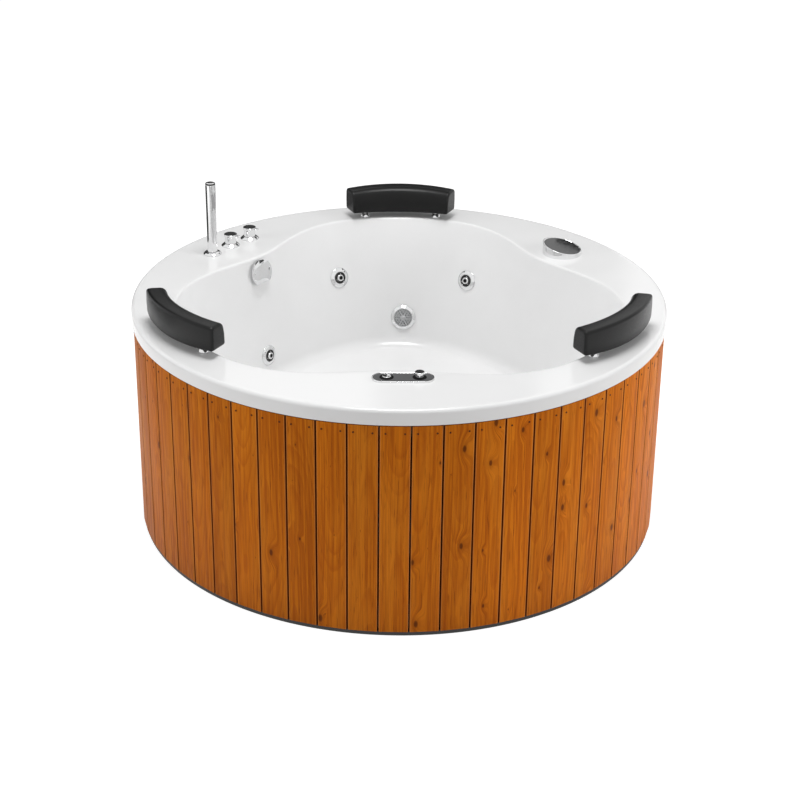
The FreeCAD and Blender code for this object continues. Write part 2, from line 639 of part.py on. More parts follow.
# Two deck taps: flange, quarter-turn handle on a spindle, valve body with a threaded tail below
for tap, spot in tap_spots.items():
    flange = turned(tap + "_flange", [
        ("tap_neck_radius + hole_play", None), ("tap_flange_radius", None),
        ("tap_flange_radius", "tap_flange_height - shell_wall"), ("tap_handle_radius", "tap_flange_height"),
        ("tap_neck_radius + hole_play", "tap_flange_height")])
    flange.Placement = Placement(spot, Rotation())
    sub_part(flange, tap + "_tap_flange")
    shoulder = "tap_tail + tap_body"
    neck = shoulder + " + shell_wall + tap_flange_height"
    valve = turned(tap + "_valve", [
        (None, None), ("tap_tail_radius", None), ("tap_tail_radius", "tap_tail"),
        ("tap_body_radius", "tap_tail"), ("tap_body_radius", shoulder), ("tap_neck_radius", shoulder),
        ("tap_neck_radius", neck), ("tap_spindle_radius", neck),
        ("tap_spindle_radius", neck + " + tap_spindle"), (None, neck + " + tap_spindle")])
    valve.Placement = at(spot.x, spot.y, under_deck - amount(shoulder))
    sub_part(valve, tap + "_tap_valve")
    grip = turned(tap + "_grip", [
        ("tap_spindle_radius + running_fit", None), ("tap_handle_radius", None),
        ("tap_handle_radius", "tap_handle_height"), ("tap_cap_radius", "tap_handle_height"),
        ("tap_cap_radius", "tap_handle_height + tap_cap_height"),
        (None, "tap_handle_height + tap_cap_height"), (None, "tap_spindle + turning_gap"),
        ("tap_spindle_radius + running_fit", "tap_spindle + turning_gap")])
    handle_place = at(spot.x, spot.y, deck + amount("tap_flange_height + turning_gap"),
                      Rotation(Vector(0, 0, 1), amount("tap_lever_turn")))
    grip.Placement = handle_place
    lever_start = Vector(amount("tap_spindle_radius"), -amount("tap_lever_width") / 2,
                         amount("tap_handle_height"))
    lever = block(tap + "_lever", "tap_handle_radius + tap_lever - tap_spindle_radius", "tap_lever_width",
                  "tap_lever_height", handle_place.multiply(Placement(lever_start, Rotation())))
    sub_part(fuse(tap + "_handle_solid", [grip, lever]), tap + "_tap_handle")

# Filler on the left bulge: a tube through the wall and a dial that also works the drain plug
filler_place = wall_seat(*filler_where, amount("filler_flange_radius"))[0]
filler_tube = turned("filler_tube", [
    ("dial_hub_radius + running_fit", None), ("filler_tube_radius", None),
    ("filler_tube_radius", "filler_tube"), ("filler_flange_radius", "filler_tube"),
    ("filler_flange_radius", "filler_tube + filler_flange_height"),
    ("dial_hub_radius + running_fit", "filler_tube + filler_flange_height")])
filler_tube.Placement = filler_place.multiply(at(0, 0, -amount("filler_tube")))
sub_part(filler_tube, "filler_body")
disc = "dial_hub + dial_rim"
knob = turned("dial_disc", [
    (None, None), ("dial_hub_radius", None), ("dial_hub_radius", "dial_hub"), ("dial_radius", "dial_hub"),
    ("dial_radius", disc), ("dial_flat", disc + " + dial_crown - shell_wall + filler_flange_height"),
    (None, disc + " + dial_crown")])
dial_back = amount("filler_flange_height + dial_gap")
dial_place = filler_place.multiply(at(0, 0, dial_back - amount("dial_hub")))
knob.Placement = dial_place
flat_start = Vector(-amount("dial_radius"), -amount("dial_radius + dial_flat"), amount("dial_hub"))
flat = block("dial_flat_cut", "dial_radius + dial_radius", "dial_radius", "dial_rim + dial_rim",
             dial_place.multiply(Placement(flat_start, Rotation())))
sub_part(cut("dial", knob, flat), "filler_dial")

# Suction fitting low on the back wall: perforated cover, centre screw, cup and elbow behind the wall
suction_place = wall_seat(*suction_where, amount("suction_cover_radius"))[0]
cover = turned("cover", [
    ("screw_radius + hole_play", None), ("suction_cover_radius", None),
    ("suction_cover_radius", "suction_cover_height - suction_dish"),
    ("suction_tube_radius", "suction_cover_height"),
    ("screw_radius + hole_play", "suction_cover_height")])
cover.Placement = suction_place
doc.recompute()
grille_rows = [(amount("grille_first") + amount("grille_pitch") * row,
                round(amount("grille_holes") + amount("grille_more") * row))
               for row in range(round(amount("grille_rings")))]
grille = [rod(suction_place.multVec(polar(ring, 360 / count * step, -wall)),
              suction_place.multVec(polar(ring, 360 / count * step, 2 * amount("suction_cover_height"))),
              amount("suction_hole_radius"))
          for ring, count in grille_rows for step in range(count)]
sub_part(feature("grille", cover.Shape.cut(Part.makeCompound(grille))), "suction_cover")
cup = turned("cup", [
    ("screw_radius + hole_play", None), ("suction_tube_radius", None),
    ("suction_tube_radius", "suction_tube"),
    ("suction_tube_radius - suction_tube_wall", "suction_tube"),
    ("suction_tube_radius - suction_tube_wall", "suction_tube_wall"),
    ("suction_boss_radius", "suction_tube_wall"), ("suction_boss_radius", "suction_tube"),
    ("screw_radius + hole_play", "suction_tube")])
cup.Placement = suction_place.multiply(at(0, 0, -amount("suction_tube")))
doc.recompute()
cup_axis = suction_place.multVec(Vector(0, 0, -amount("suction_tube") / 2))
elbow_end = Vector(cup_axis.x, cup_axis.y, cup_axis.z - amount("suction_tube_radius + suction_tube_radius"))
elbow = rod(cup_axis, elbow_end, amount("suction_pipe_radius")).cut(
    placed(Part.makeCylinder(amount("suction_tube_radius - suction_tube_wall"), amount("suction_tube")),
           suction_place.multiply(at(0, 0, -amount("suction_tube")))))
sub_part(feature("suction_cup", cup.Shape.fuse(elbow)), "suction_body")
screw = turned("screw", [
    (None, None), ("screw_radius", None), ("screw_radius", "screw_length"),
    ("screw_head_radius", "screw_length"), ("screw_head_radius", "screw_length + screw_head_height"),
    (None, "screw_length + screw_head_height")])
screw.Placement = suction_place.multiply(at(0, 0, amount("suction_cover_height - screw_length")))
sub_part(screw, "suction_screw")

# Water and air rings round the bowl
saddle = amount("saddle_gap")
rings = {}
for ring in ("water", "air"):
    centre = Vector(0, 0, amount(f"deck_height - {ring}_ring_depth"))
    across = amount(f"tub_radius - {ring}_ring_inset")
    pipe = torus(ring + "_pipe", f"tub_radius - {ring}_ring_inset", ring + "_ring_radius",
                 Placement(centre, Rotation()))
    sub_part(pipe, ring + "_ring")
    rings[ring] = (across, centre.z, Part.makeTorus(across, amount(ring + "_ring_radius") + saddle, centre))


def spigot(start, angle, ring, radius):
    """Branch from a fitting to a ring pipe, ending in a saddle on the ring."""
    across, height, room = rings[ring]
    return rod(start, polar(across, angle, height), radius).cut(room)


# Jets: a ring on the wall, a body behind it with its branches, and a nozzle that turns in the ring
jet_ring = turned("jet_ring", [
    ("jet_bore", None), ("jet_sleeve_radius", None), ("jet_sleeve_radius", "jet_sleeve"),
    ("jet_ring_radius", "jet_sleeve"), ("jet_sleeve_radius", "jet_sleeve + jet_ring_height"),
    ("jet_bore", "jet_sleeve + jet_ring_height")])
nozzle_blank = turned("nozzle_blank", [
    (None, None), ("jet_bore - running_fit", None),
    ("jet_bore - running_fit", "nozzle_length"), ("nozzle_nose_radius", "nozzle_length + nozzle_proud"),
    (None, "nozzle_length + nozzle_proud")])
nozzle_eye = cylinder("nozzle_eye", "nozzle_hole_radius", "nozzle_hole_depth + nozzle_hole_depth",
                      at(amount("nozzle_hole_offset"), 0,
                         amount("nozzle_length + nozzle_proud - nozzle_hole_depth")))
nozzle = cut("nozzle", nozzle_blank, nozzle_eye)
jet_seats = [wall_seat(angle, depth, amount("jet_ring_radius")) for angle, depth in jet_places]
ring_places = [seat.multiply(at(0, 0, -amount("jet_sleeve"))) for seat, rise in jet_seats]
sub_part(group("jet_flanges", jet_ring, ring_places), "jet_rings")
jet_bodies = []
for (angle, depth), (seat, rise) in zip(jet_places, jet_seats):
    front = -rise - wall_back(angle, depth, amount("jet_body_radius"))
    back = front - amount("jet_body")
    tube = Part.makeCylinder(amount("jet_body_radius"), amount("jet_body"), Vector(0, 0, back))
    tube = placed(tube, seat)
    centre = seat.multVec(Vector(0, 0, (front + back) / 2))
    tube = tube.fuse([spigot(centre, angle, "water", amount("water_spigot_radius")),
                      spigot(centre, angle, "air", amount("air_spigot_radius"))])
    sleeve_room = Part.makeCylinder(amount("jet_sleeve_radius") + play, amount("jet_sleeve"),
                                    Vector(0, 0, -amount("jet_sleeve") - play))
    jet_bodies.append(tube.cut(placed(sleeve_room, seat)))
sub_part(feature("jet_tubes", Part.makeCompound(jet_bodies)), "jet_bodies")
JET_NAMES = ("back_left", "back_right", "left_front", "left_back", "right_back", "right_front", "low")
nozzle_base = amount("jet_sleeve + jet_ring_height - nozzle_length")
for jet_name, place in zip(JET_NAMES, ring_places):
    sub_part(group("nozzle_" + jet_name, nozzle, [place.multiply(at(0, 0, nozzle_base))]),
             "jet_nozzle_" + jet_name)

# Front control plate with a push button and an air knob
plate_half = amount("plate_width") / 2
straight = amount("plate_length - plate_width")
bar = block("plate_bar", "plate_length - plate_width", "plate_width", "plate_height",
            plate_place.multiply(at(-straight / 2, -plate_half, 0)))
ends = []
for end_name, side in (("left", -1), ("right", 1)):
    end = doc.addObject("Part::Cylinder", "plate_end_" + end_name)
    end.setExpression("Radius", "Sizes.plate_width / 2")
    end.setExpression("Height", cells("plate_height"))
    end.Placement = plate_place.multiply(at(side * straight / 2, 0, 0))
    ends.append(end)
plate_blank = fuse("plate_blank", [bar] + ends)
button_hole = cylinder("button_hole", "button_radius + running_fit", "plate_height",
                       Placement(button_spot, Rotation()))
knob_hole = cylinder("knob_hole", "knob_shaft_radius + running_fit", "plate_height",
                     Placement(knob_spot, Rotation()))
plate_holes = fuse("plate_holes", [button_hole, knob_hole])
sub_part(cut("plate", plate_blank, plate_holes), "control_plate")
button = cylinder("button", "button_radius", "button_height")
button_base = deck + amount("plate_height + button_proud - button_height")
button.Placement = at(button_spot.x, button_spot.y, button_base)
sub_part(button, "push_button")
button_cup = turned("button_cup", [
    (None, None), ("button_body_radius", None), ("button_body_radius", "button_body"),
    ("button_radius + hole_play", "button_body"),
    ("button_radius + hole_play", "button_body - button_height - button_travel + plate_height"),
    (None, "button_body - button_height - button_travel + plate_height")])
button_cup.Placement = at(button_spot.x, button_spot.y, deck - amount("button_body"))
sub_part(button_cup, "button_body")
air_knob = turned("air_dial", [
    (None, None), ("knob_shaft_radius", None), ("knob_shaft_radius", "knob_shaft"),
    ("knob_radius", "knob_shaft"), ("knob_radius", "knob_shaft + knob_base"),
    ("knob_top_radius", "knob_shaft + knob_base"), ("knob_top_radius", "knob_shaft + knob_base + knob_top"),
    (None, "knob_shaft + knob_base + knob_top")])
air_knob.Placement = at(knob_spot.x, knob_spot.y, deck + amount("plate_height + turning_gap - knob_shaft"))
sub_part(air_knob, "air_knob")
air_valve = turned("air_valve_tube", [
    (None, None), ("air_valve_radius", None), ("air_valve_radius", "air_valve"),
    ("knob_shaft_radius + running_fit", "air_valve"),
    ("knob_shaft_radius + running_fit", "air_valve - knob_shaft"), (None, "air_valve - knob_shaft")])
air_valve.Placement = at(knob_spot.x, knob_spot.y, deck - amount("air_valve"))
doc.recompute()
knob_angle = math.degrees(math.atan2(knob_spot.y, knob_spot.x))
valve_foot = knob_spot - Vector(0, 0, amount("air_valve - air_spigot_radius"))
valve_solid = air_valve.Shape.fuse(spigot(valve_foot, knob_angle, "air", amount("air_spigot_radius")))
sub_part(feature("air_valve_solid", valve_solid), "air_valve")

# Round control panel: a wedge-shaped bezel with a leaning glass face, its high side towards the back left
panel_turn = Rotation(Vector(0, 0, 1), amount("panel_turn"))
panel_place = Placement(panel_spot, panel_turn)
panel_radius = amount("panel_radius")
tilt = amount("panel_tilt")
face_middle = amount("panel_low") + panel_radius * math.tan(math.radians(tilt))
face_place = panel_place.multiply(at(0, 0, face_middle, Rotation(Vector(0, 1, 0), -tilt)))
wedge = placed(Part.makeCylinder(panel_radius, 2 * face_middle), panel_place)
room = 4 * panel_radius
wedge = wedge.cut(placed(Part.makeBox(room, room, room, Vector(-room / 2, -room / 2, 0)), face_place))
glass_radius = amount("panel_radius - panel_rim")
glass_depth = amount("panel_glass")
recess = placed(Part.makeCylinder(glass_radius + play, room, Vector(0, 0, -glass_depth)), face_place)
shank = placed(Part.makeCylinder(amount("panel_shank_radius"), amount("panel_shank"),
                                 Vector(0, 0, -amount("panel_shank"))), panel_place)
sub_part(feature("bezel", wedge.cut(recess).fuse(shank)), "panel_bezel")
glass = cylinder("glass", "panel_radius - panel_rim", "panel_glass",
                 face_place.multiply(at(0, 0, -glass_depth)))
sub_part(glass, "panel_glass")

# Drain: flange and tail through the floor, a plug on a stem, and the trap under the floor board
tail_base = floor_top - amount("drain_tail")
drain_tail = turned("drain_tail_tube", [
    ("drain_throat", None), ("drain_tail_radius", None), ("drain_tail_radius", "drain_tail"),
    ("drain_flange_radius", "drain_tail"), ("drain_tail_radius", "drain_tail + drain_flange_height"),
    ("drain_throat", "drain_tail + drain_flange_height")])
drain_tail.Placement = at(drain_spot.x, drain_spot.y, tail_base)
doc.recompute()
bar_width = amount("drain_bar_width")
bar_length = amount("drain_throat + drain_tail_radius")
bar_height = amount("drain_bar_height")
bar_origin = Vector(-bar_length / 2, -bar_width / 2, 0)
cross = Part.makeBox(bar_length, bar_width, bar_height, bar_origin)
boss = Part.makeCylinder(bar_width, bar_height)
guide = Part.makeCylinder(amount("plug_stem_radius + running_fit"), bar_height)
spider = cross.fuse(boss).cut(guide)
spider = placed(spider, at(drain_spot.x, drain_spot.y, tail_base + amount("drain_bar_rise")))
sub_part(feature("drain_outlet_ring", drain_tail.Shape.fuse(spider)), "drain_flange")
stopper = turned("stopper", [
    (None, None), ("plug_stem_radius", None), ("plug_stem_radius", "plug_stem"),
    ("plug_radius", "plug_stem"), ("drain_tail_radius", "plug_stem + plug_height"),
    (None, "plug_stem + plug_height")])
stopper.Placement = at(drain_spot.x, drain_spot.y,
                       floor_top + amount("drain_flange_height + turning_gap - plug_stem"))
sub_part(stopper, "drain_plug")
trap_inner = "trap_radius - trap_wall"
trap_height = "outlet_length + trap_depth"
trap = turned("trap", [
    ("outlet_radius - outlet_wall", None), ("outlet_radius", None), ("outlet_radius", "outlet_length"),
    ("trap_radius", "outlet_length"), ("trap_radius", trap_height), (trap_inner, trap_height),
    (trap_inner, "outlet_length + trap_wall"),
    ("outlet_radius - outlet_wall", "outlet_length + trap_wall")])
trap_base = board_base - amount(trap_height)
trap.Placement = at(drain_spot.x, drain_spot.y, trap_base)
sub_part(trap, "drain_trap")
filler_end = filler_place.multVec(Vector(0, 0, -amount("filler_tube - overflow_radius")))
overflow_side = polar(math.hypot(filler_end.x, filler_end.y), amount("filler_angle - overflow_shift"),
                      filler_end.z)
inlet_height = trap_base + amount("outlet_length") + amount("trap_depth") / 2
overflow_low = Vector(overflow_side.x, overflow_side.y, inlet_height)
trap_middle = Vector(drain_spot.x, drain_spot.y, inlet_height)
overflow = bent_pipe([filler_end, overflow_side, overflow_low, trap_middle], amount("overflow_radius"),
                     amount("overflow_bend"))
trap_room = Part.makeCylinder(amount("trap_radius") + play, 2 * amount("trap_depth"),
                              Vector(drain_spot.x, drain_spot.y, trap_base))
filler_room = placed(Part.makeCylinder(amount("filler_tube_radius") + play, 2 * amount("filler_tube"),
                                       Vector(0, 0, -amount("filler_tube") - play)), filler_place)
sub_part(feature("overflow", overflow.cut(trap_room).cut(filler_room)), "overflow_pipe")

# Pump: a wet end under the water ring, the motor behind it, a bracket on the base frame
pump_turn = Rotation(Vector(0, 0, 1), bulge_angles[0] + 90)
pump_axis = pump_turn.multVec(Vector(1, 0, 0))
pump_height = beam_top + amount("bracket_height + bracket_lift") + amount("motor_radius")
wet_centre = polar(amount("tub_radius - water_ring_inset"), amount("pump_angle"), pump_height)
wet_front = wet_centre + pump_axis * (amount("wet_end_length") / 2)
wet_end = Part.makeCylinder(amount("wet_end_radius"), amount("wet_end_length"), wet_front, pump_axis * -1)
discharge = spigot(wet_centre, amount("pump_angle"), "water", amount("discharge_radius"))
sub_part(feature("volute", wet_end.fuse(discharge)), "pump_wet_end")
motor_start = wet_front - pump_axis * amount("wet_end_length")
motor = Part.makeCylinder(amount("motor_radius"), amount("motor_length"), motor_start, pump_axis * -1)
sub_part(feature("motor", motor), "pump_motor")
motor_middle = motor_start - pump_axis * (amount("motor_length") / 2)
bracket_place = Placement(Vector(motor_middle.x, motor_middle.y, beam_top), pump_turn)
bracket_size = [amount(name) for name in ("bracket_length", "bracket_width", "bracket_height")]
base_plate = Part.makeBox(*bracket_size, Vector(-bracket_size[0] / 2, -bracket_size[1] / 2, 0))
saddle_block = Part.makeBox(bracket_size[0] / 2, bracket_size[1], pump_height - beam_top,
                            Vector(-bracket_size[0] / 4, -bracket_size[1] / 2, 0))
cradle = placed(base_plate.fuse(saddle_block), bracket_place)
motor_room = Part.makeCylinder(amount("motor_radius") + saddle, amount("motor_length"), motor_start,
                               pump_axis * -1)
sub_part(feature("cradle", cradle.cut(motor_room)), "pump_bracket")
pipe_ahead = wet_front + pump_axis * amount("pipe_bend + suction_pipe_radius")
pipe_turn = Vector(elbow_end.x, elbow_end.y, pump_height)
suction_run = bent_pipe([wet_front, pipe_ahead, pipe_turn, elbow_end], amount("suction_pipe_radius"),
                        amount("pipe_bend"))
sub_part(feature("suction_run", suction_run), "suction_pipe")

# Control box on the front stud, with the gland for its mains cable
box_place = at(-amount("box_length") / 2, -hoop_bore, deck - amount("box_drop + box_height"))
sub_part(block("electrics", "box_length", "box_depth", "box_height", box_place), "control_box")
gland = turned("gland", [
    ("gland_bore", None), ("gland_radius", None), ("gland_radius", "gland_length"),
    ("gland_bore", "gland_length")])
gland.Placement = at(0, box_place.Base.y + amount("box_depth") / 2,
                     box_place.Base.z - amount("gland_length"))
sub_part(gland, "cable_gland")

# Every object has to be sound before the pieces are written
doc.recompute()
faulty = [obj.Name for obj in doc.Objects if "Invalid" in obj.State or "Error" in obj.State]
assert not faulty, faulty
for obj in SUB_PARTS:
    assert not obj.Shape.isNull() and obj.Shape.isValid() and obj.Shape.Solids, obj.Label
os.makedirs("parts", exist_ok=True)
for obj in SUB_PARTS:
    obj.Shape.exportStep(os.path.join("parts", obj.Label + ".step"))
print(len(SUB_PARTS), "pieces,", sum(len(obj.Shape.Solids) for obj in SUB_PARTS), "solids")
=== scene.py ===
import math
import random

import bmesh
import bpy
from mathutils import Matrix, Vector


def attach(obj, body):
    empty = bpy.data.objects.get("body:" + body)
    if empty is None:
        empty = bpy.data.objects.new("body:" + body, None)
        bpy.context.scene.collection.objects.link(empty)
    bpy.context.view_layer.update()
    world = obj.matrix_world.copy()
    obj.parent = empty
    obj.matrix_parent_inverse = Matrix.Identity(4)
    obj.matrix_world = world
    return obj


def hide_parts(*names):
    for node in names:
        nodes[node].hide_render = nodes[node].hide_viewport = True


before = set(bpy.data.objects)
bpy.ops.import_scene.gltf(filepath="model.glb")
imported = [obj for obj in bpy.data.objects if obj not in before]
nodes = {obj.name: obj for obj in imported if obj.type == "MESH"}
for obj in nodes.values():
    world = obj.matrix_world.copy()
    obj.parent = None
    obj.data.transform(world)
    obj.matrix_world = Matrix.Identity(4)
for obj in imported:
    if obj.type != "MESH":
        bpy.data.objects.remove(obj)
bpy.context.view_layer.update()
scene = bpy.context.scene


# Base frame and feet: three square steel tubes welded into a star, with short posts under the bowl.
# The tubes are powder coated grey. Six rubber pads on zinc-plated threaded studs level the tub.
def finish(name, **fixed):
    """A new surface. Values that are the same all over it sit on the shader's own sockets."""
    material = bpy.data.materials.new(name)
    material.use_nodes = True
    for socket, value in fixed.items():
        shader_of(material).inputs[socket.replace("_", " ")].default_value = value
    return material


def shader_of(material):
    return material.node_tree.nodes["Principled BSDF"]


def feed(material, target, socket, value):
    """Gives a socket a number, a colour or another node's output."""
    entry = target.inputs[socket] if isinstance(socket, int) else target.inputs[socket.replace("_", " ")]
    if isinstance(value, bpy.types.NodeSocket):
        material.node_tree.links.new(value, entry)
    else:
        entry.default_value = value


def shade(material, kind, **inputs):
    made = material.node_tree.nodes.new("ShaderNode" + kind)
    for socket, value in inputs.items():
        feed(material, made, socket, value)
    return made


def ramp(material, share, *stops):
    """Colour that follows a share between 0 and 1."""
    made = shade(material, "ValToRGB", Fac=share)
    marks = made.color_ramp.elements
    while len(marks) < len(stops):
        marks.new(1.0)
    for mark, (place, colour) in zip(marks, stops):
        mark.position = place
        mark.color = (*colour, 1)
    return made.outputs["Color"]


def span(material, value, source, target):
    made = shade(material, "MapRange", Value=value, From_Min=source[0], From_Max=source[1],
                 To_Min=target[0], To_Max=target[1])
    made.interpolation_type = "SMOOTHSTEP"
    return made.outputs["Result"]


def number(material, operation, first, second=0.0):
    made = shade(material, "Math")
    made.operation = operation
    feed(material, made, 0, first)
    feed(material, made, 1, second)
    return made.outputs[0]


def grey(level):
    return level, level, level


TONE_BAND = (0.32, 0.68)
GLOSS_BAND = (0.3, 0.7)
CLOUD_DETAIL = 4.0
RELIEF_DEPTH = 0.0004


def mottled(material, grain, tones, gloss, relief, stretch=(1, 1, 1)):
    """Uneven colour, gloss and surface of one finish. The grain is in marks for each metre."""
    place = shade(material, "TexCoord").outputs["Object"]
    drawn = shade(material, "Mapping", Vector=place, Scale=stretch).outputs["Vector"]
    cloud = shade(material, "TexNoise", Vector=drawn, Scale=grain, Detail=CLOUD_DETAIL).outputs[0]
    shader = shader_of(material)
    feed(material, shader, "Base Color", ramp(material, cloud, *zip(TONE_BAND, tones)))
    feed(material, shader, "Roughness", span(material, cloud, GLOSS_BAND, gloss))
    bump = shade(material, "Bump", Strength=relief, Distance=RELIEF_DEPTH, Height=cloud)
    feed(material, shader, "Normal", bump.outputs["Normal"])
    return material


def dress(material, *names):
    """Gives CAD nodes a better surface."""
    for name in names:
        for entry in nodes[name].material_slots:
            entry.material = material


powder_coat = mottled(finish("grey_powder_coat"), grain=900, gloss=(0.42, 0.58), relief=0.25,
                      tones=((0.045, 0.048, 0.052), (0.062, 0.065, 0.07)))
dress(powder_coat, "base_frame")
pad_rubber = mottled(finish("pad_rubber"), grain=600, gloss=(0.7, 0.88), relief=0.4,
                     tones=(grey(0.012), grey(0.024)))
dress(pad_rubber, "levelling_feet")
zinc_plate = mottled(finish("zinc_plate", Metallic=1.0), grain=260, gloss=(0.28, 0.46), relief=0.06,
                     tones=((0.5, 0.51, 0.52), (0.66, 0.67, 0.68)))
dress(zinc_plate, "foot_studs")

# Floor board: an 18 mm birch plywood disc on the posts that spreads the weight of the water.
# Its faces are sanded and raw, and the thin plies show as stripes on the cut edge.
plywood = mottled(finish("birch_plywood"), grain=30, gloss=(0.55, 0.75), relief=0.2,
                  tones=((0.5, 0.34, 0.19), (0.63, 0.46, 0.28)), stretch=(0.25, 3.0, 14.0))
dress(plywood, "floor_board")

# Acrylic shell: rim, deck and three-lobed bowl vacuum formed from one white sheet about 6 mm thick.
# The outer edge of the rim is rolled down over the boards, and the deck runs into the bowl in a small round.
TUB_RADIUS = 0.8
DECK = 0.7
BOWL_DEPTH = 0.415
SHEET = 0.006
WALL_LEAN = 1.04
RIM_HEIGHT = 0.045
RIM_ROUND = 0.022
RIM_EDGE = 0.0012
DECK_ROUND = 0.008
FLOOR_ROUND = 0.042
LOBE_EDGE = 0.677
DECK_SWELL = 0.137
LOBE_FLOOR = 0.565
FLOOR_SWELL = 0.073
FRONT = math.radians(270)
CREST_SWAY = math.radians(5.13)
CREST_SECOND_SWAY = math.radians(1.94)
FLOOR = DECK - BOWL_DEPTH


def bulge(angle):
    """How far the deck swells into the bowl: 1 at the controls, taps and panel, 0 at the headrests."""
    turn = angle - FRONT
    sway = CREST_SWAY * math.sin(turn) - CREST_SECOND_SWAY * math.sin(2 * turn)
    return (1 + math.cos(3 * (turn - sway))) / 2


def wall_radius(angle, depth):
    deck_edge = LOBE_EDGE - DECK_SWELL * bulge(angle) ** 2
    floor_edge = LOBE_FLOOR - FLOOR_SWELL * bulge(angle)
    return deck_edge + depth / BOWL_DEPTH * (floor_edge - deck_edge)


def polar(radius, angle, height):
    return Vector((radius * math.cos(angle), radius * math.sin(angle), height))


ROUND_SHARE = 0.48


def eased(chain, radius, steps=4):
    """A chain of (radius, height) pairs with each inner corner rounded as far as its sides allow."""
    corners = [Vector(corner) for corner in chain]
    made = [corners[0]]
    for before, corner, after in zip(corners, corners[1:], corners[2:]):
        back, ahead = before - corner, after - corner
        half = back.angle(ahead) / 2
        reach = min(radius / math.tan(half), back.length * ROUND_SHARE, ahead.length * ROUND_SHARE)
        size = reach * math.tan(half)
        middle = corner + (back.normalized() + ahead.normalized()).normalized() * (size / math.sin(half))
        start = corner + back.normalized() * reach - middle
        end = corner + ahead.normalized() * reach - middle
        sweep = start.angle(end)
        for step in range(steps + 1):
            share = step / steps
            spoke = start * math.sin((1 - share) * sweep) + end * math.sin(share * sweep)
            made.append(middle + spoke / math.sin(sweep))
    return [tuple(point) for point in made + [corners[-1]]]


def between(start, end, count):
    """Inner points that divide a straight run."""
    return [tuple(Vector(start).lerp(Vector(end), step / count)) for step in range(1, count)]


DECK_ROWS = 14
WALL_ROWS = 44
FLOOR_ROWS = 26
UNDER_FLOOR_ROWS = 8
UNDER_WALL_ROWS = 12
UNDER_DECK_ROWS = 6


def shell_section(angle):
    """Outline of the sheet at one angle: up over the rim, across the deck, down the bowl and back below."""
    deck_edge = wall_radius(angle, 0)
    floor_edge = wall_radius(angle, BOWL_DEPTH)
    inside = TUB_RADIUS - SHEET
    rim = eased([(inside, DECK - RIM_HEIGHT), (TUB_RADIUS, DECK - RIM_HEIGHT),
                 (TUB_RADIUS, DECK - RIM_ROUND)], RIM_EDGE, 3)
    rim_top = eased([(TUB_RADIUS, DECK - RIM_ROUND - RIM_EDGE), (TUB_RADIUS, DECK), (deck_edge, DECK)],
                    RIM_ROUND, 10)[1:-1]
    deck_turn = eased([(TUB_RADIUS, DECK), (deck_edge, DECK), (floor_edge, FLOOR)], DECK_ROUND, 8)[1:-1]
    floor_turn = eased([(deck_edge, DECK), (floor_edge, FLOOR), (0, FLOOR)], FLOOR_ROUND, 12)[1:-1]
    below = FLOOR - SHEET
    foot = wall_radius(angle, BOWL_DEPTH + SHEET) + SHEET * WALL_LEAN
    neck = wall_radius(angle, SHEET) + SHEET * WALL_LEAN
    under = eased([(neck, DECK - SHEET), (inside, DECK - SHEET), (inside, DECK - RIM_HEIGHT)],
                  RIM_ROUND - SHEET, 5)[1:-1]
    outline = rim[:-1] + rim_top + between(rim_top[-1], deck_turn[0], DECK_ROWS) + deck_turn
    outline += between(deck_turn[-1], floor_turn[0], WALL_ROWS) + floor_turn
    outline += between(floor_turn[-1], (0, FLOOR), FLOOR_ROWS) + [(0, FLOOR), (0, below)]
    outline += between((0, below), (foot, below), UNDER_FLOOR_ROWS) + [(foot, below)]
    outline += between((foot, below), (neck, DECK - SHEET), UNDER_WALL_ROWS) + [(neck, DECK - SHEET)]
    return outline + between((neck, DECK - SHEET), under[0], UNDER_DECK_ROWS) + under


def lofted(sections, place, closed=True):
    """Points and faces of a skin over sections of equally many points. Sections may share their ends."""
    count = len(sections)
    size = len(sections[0])
    points = [place(row, spot) for row, section in enumerate(sections) for spot in section]
    faces = []
    for row in range(count if closed else count - 1):
        here, ahead = row * size, (row + 1) % count * size
        for step in range(size):
            after = (step + 1) % size
            faces.append((here + step, here + after, ahead + after, ahead + step))
    return points, faces


WELD = 1e-6
SLIVER = 1e-7


def piece(name, body, material, *forms, crease=35):
    """One object from forms, each a pair of points and faces, that rides on a CAD body."""
    shape = bmesh.new()
    for points, faces in forms:
        made = [shape.verts.new(point) for point in points]
        for face in faces:
            shape.faces.new([made[index] for index in face])
    bmesh.ops.remove_doubles(shape, verts=shape.verts, dist=WELD)
    bmesh.ops.dissolve_degenerate(shape, edges=shape.edges, dist=SLIVER)
    bmesh.ops.recalc_face_normals(shape, faces=shape.faces)
    mesh = bpy.data.meshes.new(name)
    shape.to_mesh(mesh)
    shape.free()
    mesh.materials.append(material)
    obj = bpy.data.objects.new(name, mesh)
    scene.collection.objects.link(obj)
    smooth(obj, crease)
    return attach(obj, body)


def smooth(obj, crease):
    obj.data.polygons.foreach_set("use_smooth", [True] * len(obj.data.polygons))
    obj.data.set_sharp_from_angle(angle=math.radians(crease))


EDGE_HOLD = 0.0004
LONG_RUN_SHARE = 0.25


def held(profile):
    """The profile with a point close to both ends of each long run.

    Flat faces then shade flat right up to their rounds.
    """
    made = [profile[0]]
    for start, end in zip(profile, profile[1:]):
        share = EDGE_HOLD / max(math.dist(start, end), EDGE_HOLD)
        if share < LONG_RUN_SHARE:
            made += [tuple(Vector(start).lerp(Vector(end), place)) for place in (share, 1 - share)]
        made.append(end)
    return made


